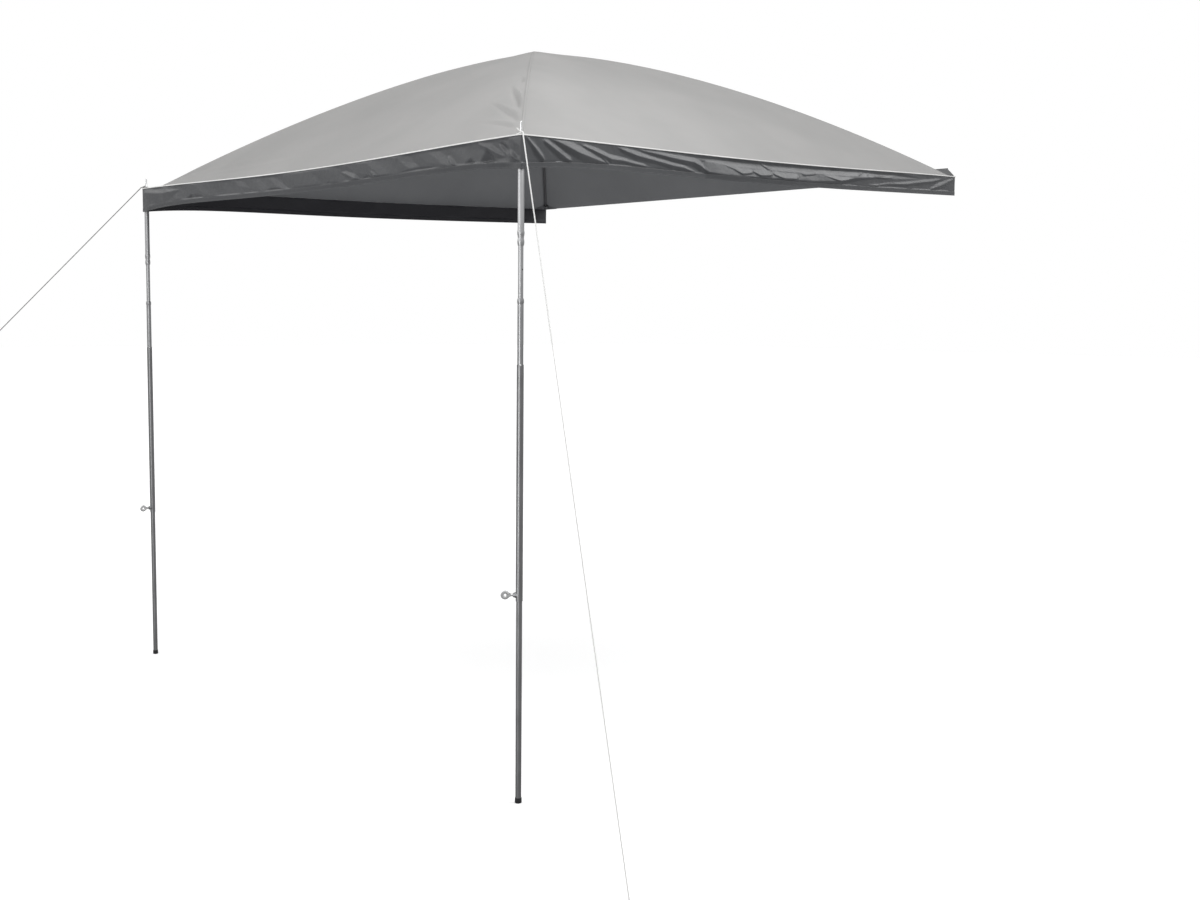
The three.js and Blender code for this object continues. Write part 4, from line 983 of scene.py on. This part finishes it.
button_ways = {"a": heading(65), "b": heading(51)}
half_metal = brushed("half_metal", (0.33, 0.333, 0.34), (0.40, 0.403, 0.41), 0.38)
inner_profile = [(inner_bore, inner_bottom), (inner_bore, inner_top),
                 *bead(inner_top, 1.563, 0.0092, 0.0106), (inner_radius, 1.561),
                 (inner_radius, inner_bottom + 0.0005), (0.0092, inner_bottom), (inner_bore, inner_bottom)]
for letter, (x, y, _) in pole_places.items():
    inner = add_turned("inner_" + letter, inner_profile, half_metal, (x, y, 0.0))
    carve(inner, cutter((x, y, button_height), button_ways[letter], button_hole, 0.0, 0.02))
    settle(inner, f"pole_{letter}_top", "tube_steel", "inner_tube_" + letter)


# Middle tubes: the widest steel tubes, with a boss welded on low down for the eye bolt's thread, and a
# half hole in the top rim that the snap button rises into.
middle_radius, middle_bore, middle_bottom, middle_top, middle_cut = 0.011, 0.009, 0.645, 1.379, 0.01
screw_height, thread_hole = 0.664, 0.0044
boss_base, boss_tip, boss_reach = 0.0095, 0.007, 0.019
screw_ways = {"a": heading(0), "b": heading(-42)}
boss_profile = rounded([(0, 0.003), (boss_base, 0.003), (boss_base, 0.0112), (0.0082, 0.0135),
                        (boss_tip, 0.0185), (0.0066, boss_reach), (0, boss_reach)], 0.0004)
for letter, (x, y, _) in pole_places.items():
    screw_place, screw_way = (x, y, screw_height), screw_ways[letter]
    wall = tube_outline(middle_radius, middle_bore, middle_bottom, middle_top, 0.0003)
    middle = add_turned("middle_" + letter, wall, tube_metal, (x, y, 0.0), sides=48)
    boss = add_turned("boss", boss_profile, tube_metal, screw_place, sides=32, axis=screw_way)
    carve(middle, boss, "UNION")
    carve(middle, cutter((x, y, 0.0), (0, 0, 1), middle_cut, 0.6, 1.42, 48))
    carve(middle, cutter(screw_place, screw_way, thread_hole, 0.002, 0.03))
    carve(middle, cutter((x, y, button_height), button_ways[letter], button_hole, 0.002, 0.02))
    settle(middle, f"pole_{letter}_mid", "tube_steel", "mid_tube_" + letter)


# Lower tubes and foot caps: the sliding foot of each pole, in the same steel, closed at the ground by a
# moulded black cap.
lower_radius, lower_bore, lower_bottom, lower_top = 0.0095, 0.0085, 0.0043, 0.992
cap_radius, cap_mouth, cap_height, cap_floor = 0.011, 0.0098, 0.017, 0.004
lower_profile = tube_outline(lower_radius, lower_bore, lower_bottom, lower_top, 0.0002)
cap_profile = rounded([(0, 0), (cap_mouth, 0), (cap_radius, 0.0012), (cap_radius, 0.0158),
                       (0.0104, cap_height), (cap_mouth, cap_height), (cap_mouth, cap_floor),
                       (0, cap_floor)], 0.0003)
black_cap = moulded("black_cap", (0.012, 0.012, 0.014), 0.45, 0.0001)
for letter, foot in pole_places.items():
    lower = add_turned("lower_" + letter, lower_profile, tube_metal, foot)
    settle(lower, f"pole_{letter}_foot", "tube_steel", "lower_tube_" + letter)
    cap = add_turned("cap_" + letter, cap_profile, black_cap, foot)
    settle(cap, f"pole_{letter}_foot", "black_plastic", "foot_cap_" + letter)


# Snap buttons: domed bright steel pins with a flange inside the tube, each pushed out by a leaf spring
# bent like a hairpin. The springs are the frame's own.
button_radius, flange_radius, button_back, button_front = 0.0035, 0.0048, 0.006, 0.014
button_profile = [
    (0, button_back), (0.0046, button_back), (flange_radius, 0.0062), (flange_radius, 0.0066),
    (0.0046, 0.0068), (button_radius, 0.0068), (button_radius, 0.0122), (0.0031, 0.0130), (0.0022, 0.0136),
    (0.0011, 0.0139), (0, button_front)]
spring_metal = brushed("spring_metal", (0.25, 0.25, 0.27), (0.4, 0.4, 0.42), 0.35)
for letter, (x, y, _) in pole_places.items():
    button = add_turned("button_" + letter, button_profile, bright_metal, (x, y, button_height),
                        sides=32, axis=button_ways[letter])
    settle(button, "button_" + letter, "bright_steel", "snap_button_" + letter)
    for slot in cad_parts["leaf_spring_" + letter].material_slots:
        slot.material = spring_metal


# Eye bolts: flat forged eyes on threaded shanks, of bright plated steel. Turned by hand, each clamps the
# lower tube through the middle tube's boss.
eye_centre, eye_radius, eye_hole, eye_half, eye_soft = 0.044, 0.014, 0.004, 0.002, 0.0009
eye_neck, eye_neck_half, eye_shoulder, eye_sides = 0.022, 0.0035, math.radians(125), 96
shank_radius, shank_start, shank_end, thread_pitch, thread_depth = 0.004, 0.0098, 0.026, 0.0007, 0.0004


def eye_outline():
    """How far a teardrop's edge lies from the eye's centre all round: a round arc to the shoulders, then a
    curve of (1 - k)^2, 2k(1 - k) and kk parts of shoulder, waist and neck, closed square."""
    neck_x = eye_neck - eye_centre
    arc = np.linspace(-eye_shoulder, eye_shoulder, 60)
    rim = np.stack([eye_radius * np.cos(arc), eye_radius * np.sin(arc)], axis=-1)
    k = np.linspace(0, 1, 24)[1:, None]
    waist = np.array([(rim[-1, 0] + neck_x) / 2, eye_neck_half * 1.2])
    flank = (1 - k) ** 2 * rim[-1] + 2 * k * (1 - k) * waist + k ** 2 * np.array([neck_x, eye_neck_half])
    close = np.stack([np.full(9, neck_x), np.linspace(eye_neck_half, 0, 9)], axis=-1)[1:]
    half = np.vstack([rim[30:], flank, close])
    theta = np.linspace(-math.pi, math.pi, eye_sides + 1)[:-1]
    return theta, np.interp(np.abs(theta), np.arctan2(half[:, 1], half[:, 0]), np.linalg.norm(half, axis=1))


def eye_plate(place, way):
    """The flat eye: rings from its hole's edge over one face, round the outline and back over the other."""
    theta, reach = eye_outline()
    hole, soft, side, face = np.full(eye_sides, eye_hole), eye_soft, eye_half - eye_soft, eye_half
    rings = ((hole, -side), (hole, side), (hole + soft, face), (reach - soft, face), (reach, side),
             (reach, -side), (reach - soft, -face), (hole + soft, -face), (hole, -side))
    out, height = np.array([out for out, _ in rings])[..., None], np.array([level for _, level in rings])
    along, side_way = np.array(way), np.array([0, 0, 1.0])
    across = np.cross(side_way, along)
    theta = theta[:, None]
    points = (np.array(place) + (eye_centre + out * np.cos(theta)) * along + out * np.sin(theta) * side_way
              + height[:, None, None] * across)
    faces = grid_faces(len(rings), eye_sides, around=True)
    return add_mesh("eye", points, faces, [bright_metal], sharp=50.0)


turns = np.arange(14)
thread = np.stack([shank_radius - thread_depth * (turns % 2), shank_start + thread_pitch * turns], axis=-1)
shank_profile = [(0, shank_start), *thread, (shank_radius, 0.0196), (shank_radius, 0.0256),
                 (0.0034, shank_end), (0, shank_end)]
for letter, (x, y, _) in pole_places.items():
    place, way = (x, y, screw_height), screw_ways[letter]
    shank = add_turned("shank", shank_profile, bright_metal, place, 28, way)
    bolt = merge("eye_bolt_" + letter, [eye_plate(place, way), shank])
    settle(bolt, "screw_" + letter, "bright_steel", "eye_screw_" + letter)


# Guy ropes: braided polyester cord, 4 mm thick, hitched round each spike above the roof and pulled taut
# to a tied eye, just outside the view. Their routes are the frame's own.
rope_radius, lay_radius, hitch_radius, whip_radius = 0.002, 0.0019, 0.0017, 0.0012
lump_out, lump_up, ring_up, ring_round = 0.0102, 0.0069, 0.0058, 0.0068
tail_lays = ((-math.pi / 1.75, 0.8, 0.022), (-math.pi / 2.2, -0.35, 0.021))
bow_radius, bow_out, neck_out = 0.0115, 0.012, 0.0039
# Each route: the rope's heading from straight right, and its points as mm out from the spike and up.
guy_routes = {
    "a": (-135, [(14.4, 6.9), (18.5, 6.5), (22.2, 5.2), (25.2, 2.9), (28, 0.1), (52.8, -24), (114.6, -84),
                 (197, -164), (279.4, -244), (361.8, -324), (444.2, -404), (526.6, -484), (609, -564),
                 (670.8, -624), (712, -664), (742.9, -694)]),
    "b": (-27, [(14.4, 6.9), (18, 6.2), (21, 4.2), (23.6, 0.6), (25.6, -2.8), (61, -60), (147.8, -200),
                (271.7, -400), (395.6, -600), (519.5, -800), (643.4, -1000), (767.4, -1200), (891.3, -1400),
                (1015.2, -1600), (1139.1, -1800), (1218.4, -1928), (1274.2, -2018)]),
}


def braided(name, dark, light):
    """Rope of two sets of strands, wound opposite ways: the greater of two sines of the turns along and
    round it, painted dark between the strands as painted shade in the grooves."""
    material, shader = new_material(name, light, 0.75, sheen=0.3)
    coords = add_node(material, "ShaderNodeTexCoord")
    heights = []
    for way in (1, -1):
        split = add_node(material, "ShaderNodeSeparateXYZ")
        along = math_node(material, "MULTIPLY", 0.55 / rope_radius)
        round_turns = math_node(material, "MULTIPLY_ADD", 6.0 * way)
        turn, wave = math_node(material, "MULTIPLY", 2 * math.pi), math_node(material, "SINE")
        wire(material, (coords, "UV", split, "Vector"), (split, "X", along, 0),
             (split, "Y", round_turns, 0), (along, "Value", round_turns, 2),
             (round_turns, "Value", turn, 0), (turn, "Value", wave, 0))
        heights.append(wave)
    braid = math_node(material, "MAXIMUM")
    bump = add_node(material, "ShaderNodeBump", Strength=0.6, Distance=rope_radius * 0.25)
    # The ramp paints the grooves between the strands darker: painted shade.
    ramp = two_tones(material, dark, light, 0.0, 0.6)
    wire(material, (heights[0], "Value", braid, 0), (heights[1], "Value", braid, 1),
         (braid, "Value", bump, "Height"), (bump, "Normal", shader, "Normal"),
         (braid, "Value", ramp, "Fac"), (ramp, "Color", shader, "Base Color"))
    return material


def unit(way):
    """The same way, one long."""
    return way / np.linalg.norm(way)


def coil(centre, axis, radius, pitch, turns, start):
    """Points of a helix round an axis: radius out at an angle from start, and pitch up it every turn."""
    axis = unit(np.array(axis, float))
    side = np.cross(axis, [0, 0, 1.0])
    side = unit(side if np.linalg.norm(side) >= 0.1 else np.array([1.0, 0, 0]))
    other = np.cross(axis, side)
    angle = start + np.linspace(0, turns * 2 * math.pi, int(turns * 18) + 1)
    rise = np.linspace(-0.5, 0.5, len(angle)) * turns * pitch
    return (np.array(centre) + radius * (np.cos(angle)[:, None] * side + np.sin(angle)[:, None] * other)
            + rise[:, None] * axis)


def spike_knot(letter, spike, turn, lump, first, rope_cloth):
    """The knot: a coil round the spike, a hitch round the rope where it leaves, and two loose tails."""
    ring = coil(spike + np.array([0, 0, ring_up]), (0, 0, 1), ring_round, 0.0022, 1.7, turn + 0.4)
    hitch = coil(lump + first * 0.0004, first, 0.0031, 0.0026, 2.6, 0.6)
    parts = [add_tube("part", ring, lay_radius, 10, rope_cloth),
             add_tube("part", hitch, hitch_radius, 10, rope_cloth)]
    for aside, climb, length in tail_lays:
        away = unit(np.array([math.cos(turn + aside), math.sin(turn + aside), climb]))
        side = np.cross(away, [0, 0, 1.0])
        tail = smooth_path([lump, lump + away * 0.4 * length + side * 0.0012, lump + away * 0.75 * length,
                            lump + away * length - side * 0.0008], 0.0012)
        thick = np.full(len(tail), lay_radius)
        thick[-3:] = (0.0018, 0.0016, 0.001)
        parts.append(add_tube("part", tail, thick, 10, rope_cloth))
    return merge("guy_knot_rope_" + letter, parts)


def end_eye(letter, end, direction, rope_cloth):
    """The tied eye: a round bow past the rope's end, and a whipping coiled round its neck."""
    side = unit(np.cross(direction, [0, 0, 1.0]))
    up = np.cross(side, direction)
    neck = end + direction * neck_out
    turn = np.linspace(math.radians(160), math.radians(-160), 28)[:, None]
    bow = neck + direction * bow_out + bow_radius * (np.cos(turn) * direction + np.sin(turn) * up)
    loop = smooth_path(np.vstack([neck - direction * 0.002 + up * 0.0012, bow,
                                  neck - direction * 0.002 - up * 0.0012]), 0.002)
    whip = coil(neck, direction, 0.0029, 0.0022, 3.0, 0.0)
    return merge("guy_eye_rope_" + letter, [add_tube("part", loop, lay_radius, 10, rope_cloth),
                                            add_tube("part", whip, whip_radius, 8, rope_cloth)])


# Both ropes are the same white cord. Rope a gets a dark grey copy of the material, which is painted shade
# for a rope that hangs in shade.
rope_cloths = {"a": braided("rope_painted_shade", (0.10, 0.10, 0.10), (0.26, 0.255, 0.25)),
               "b": braided("rope_white", (0.66, 0.66, 0.65), (0.93, 0.93, 0.92))}
for letter, (degrees, route) in guy_routes.items():
    turn = math.radians(degrees)
    spike = np.array([pole_places[letter][0], pole_y, corner_height])
    way = np.array([math.cos(turn), math.sin(turn), 0.0])
    route = np.array(route, float) * 0.001
    line = spike + route[:, :1] * way + route[:, 1:] * np.array([0, 0, 1.0])
    path = smooth_path(line, 0.006)
    rope = add_tube("guy_line_" + letter, path, rope_radius, 12, rope_cloths[letter])
    lump = spike + way * lump_out + np.array([0, 0, lump_up])
    knot = spike_knot(letter, spike, turn, lump, unit(path[3] - path[0]), rope_cloths[letter])
    eye = end_eye(letter, line[-1], unit(line[-1] - line[-2]), rope_cloths[letter])
    settle(rope, "canopy", "rope", "guy_rope_" + letter)
    settle(knot, "canopy", "rope", "guy_knot_" + letter)
    settle(eye, "canopy", "rope", "guy_eye_" + letter)


# Floor and view: white paper under the awning, lit from within so that it stays white, and the camera,
# fitted to the corners, feet, spikes and peak. The plain view transform keeps the white as it is.
bpy.context.scene.view_settings.view_transform = "Standard"
floor_half = 60
paper, paper_shader = new_material("floor_paper", (0.96, 0.96, 0.96), 0.9, specular=0.1)
paper_shader.inputs["Emission Color"].default_value = (1.0, 1.0, 1.0, 1.0)
paper_shader.inputs["Emission Strength"].default_value = 0.36
floor_corners = [(x * floor_half, y * floor_half, 0) for x, y in ((-1, -1), (1, -1), (1, 1), (-1, 1))]
floor = add_mesh("floor", floor_corners, [(0, 1, 2, 3)], [paper], weld=False)
floor.visible_glossy = False

camera_data = bpy.data.cameras.new("camera")
camera_data.sensor_fit = "HORIZONTAL"
camera_data.sensor_width = 36.0
camera_data.lens = 1384.0 / 1200.0 * 36.0
camera_data.clip_end = 200.0
camera = bpy.data.objects.new("camera", camera_data)
bpy.context.collection.objects.link(camera)
bpy.context.scene.camera = camera
camera_place, (yaw, pitch, roll) = (4.569, -3.863, 1.516), np.radians([-47.22, 5.34, 0.58]).tolist()
forward = Vector((math.sin(yaw) * math.cos(pitch), math.cos(yaw) * math.cos(pitch), -math.sin(pitch)))
right = Vector((math.cos(yaw), -math.sin(yaw), 0.0))
up = right.cross(forward)
turned_right = right * math.cos(roll) + up * math.sin(roll)
turned_up = up * math.cos(roll) - right * math.sin(roll)
camera_turn = Matrix((turned_right, turned_up, -forward)).transposed().to_4x4()
camera.matrix_world = Matrix.Translation(Vector(camera_place)) @ camera_turn


# Lights: a soft key over the near corner, two wide lamps in front, and a broad sky from above and the
# right. Some give gloss only, to the cloth or to the tubes, for the sheen along their edges.
def hang(name, data, way):
    """A lamp's object, turned to shine along a way."""
    obj = bpy.data.objects.new(name, data)
    bpy.context.collection.objects.link(obj)
    obj.rotation_mode = "QUATERNION"
    obj.rotation_quaternion = Vector(way).to_track_quat("-Z", "Y")
    return obj


def add_light(name, place, target, size, power, height=None):
    """A round lamp of so many metres and watts, or with a height a rectangular one, aimed at a target."""
    data = bpy.data.lights.new(name, "AREA")
    data.shape = "RECTANGLE" if height else "DISK"
    data.size = size
    if height:
        data.size_y = height
    data.energy = power
    obj = hang(name, data, Vector(target) - Vector(place))
    obj.location = place
    obj.visible_camera = False
    return obj


def add_far_light(name, come_from, power, spread):
    """Parallel light from a direction, softened by its spread in degrees."""
    data = bpy.data.lights.new(name, "SUN")
    data.energy = power
    data.angle = math.radians(spread)
    return hang(name, data, -Vector(come_from))


def light_only(light, name, objects):
    """Lets a light reach some pieces only."""
    group = bpy.data.collections.new(name)
    for obj in objects:
        group.objects.link(obj)
    light.light_linking.receiver_collection = group


add_light("key", (1.9, -0.9, 3.3), (1.0, -0.7, 2.3), 0.9, 9.5)
add_light("front_light", (0.6, -3.0, 2.6), (0.6, -1.1, 2.1), 0.8, 7)
add_light("low_front", (-1.0, -4.5, 2.2), (0.0, -1.0, 2.2), 1.2, 30).visible_glossy = False
add_far_light("ceiling_light", (0.0, 0.0, 1.0), 0.5, 60)
add_far_light("right_light", (0.5, 0.65, 0.55), 1.15, 16).visible_glossy = False
right_shine = add_far_light("right_shine", (0.42, 0.68, 0.60), 1.3, 38)
left_shine = add_far_light("left_shine", (-0.8, -0.33, 0.5), 0.4, 40)
right_shine.visible_diffuse = left_shine.visible_diffuse = False
light_only(right_shine, "shining_cloth", [roof, valance, strip])
pole_shine = add_light("pole_shine", (2.2, -5.2, 1.1), (1.0, -1.16, 1.1), 1.0, 60, height=2.6)
light_only(pole_shine, "shining_metal", [obj for obj in bpy.data.objects if obj.type == "MESH" and any(
    slot.material in (tube_metal, half_metal, pale_metal) for slot in obj.material_slots)])

world = bpy.data.worlds.new("world")
bpy.context.scene.world = world
world.use_nodes = True
white = (1.0, 1.0, 1.0, 1.0)
soft_sky, sky_out = (world.node_tree.nodes[name] for name in ("Background", "World Output"))
soft_sky.inputs["Color"].default_value = white
soft_sky.inputs["Strength"].default_value = 0.5
backdrop, glossy_sky = (add_node(world, "ShaderNodeBackground", Color=white, Strength=1.0) for _ in range(2))
dimmed, either = (add_node(world, "ShaderNodeMixShader") for _ in range(2))
sky_range = {"From Min": -0.35, "From Max": 0.45, "To Min": 0.34, "To Max": 0.80}
brighter = add_node(world, "ShaderNodeMapRange", **sky_range)
sky_place, sky_height = add_node(world, "ShaderNodeTexCoord"), add_node(world, "ShaderNodeSeparateXYZ")
ray = add_node(world, "ShaderNodeLightPath")
wire(world, (sky_place, "Generated", sky_height, "Vector"), (sky_height, "Z", brighter, "Value"),
     (brighter, "Result", glossy_sky, "Strength"), (ray, "Is Glossy Ray", dimmed, 0),
     (soft_sky, "Background", dimmed, 1), (glossy_sky, "Background", dimmed, 2),
     (ray, "Is Camera Ray", either, 0), (dimmed, "Shader", either, 1),
     (backdrop, "Background", either, 2), (either, "Shader", sky_out, "Surface"))
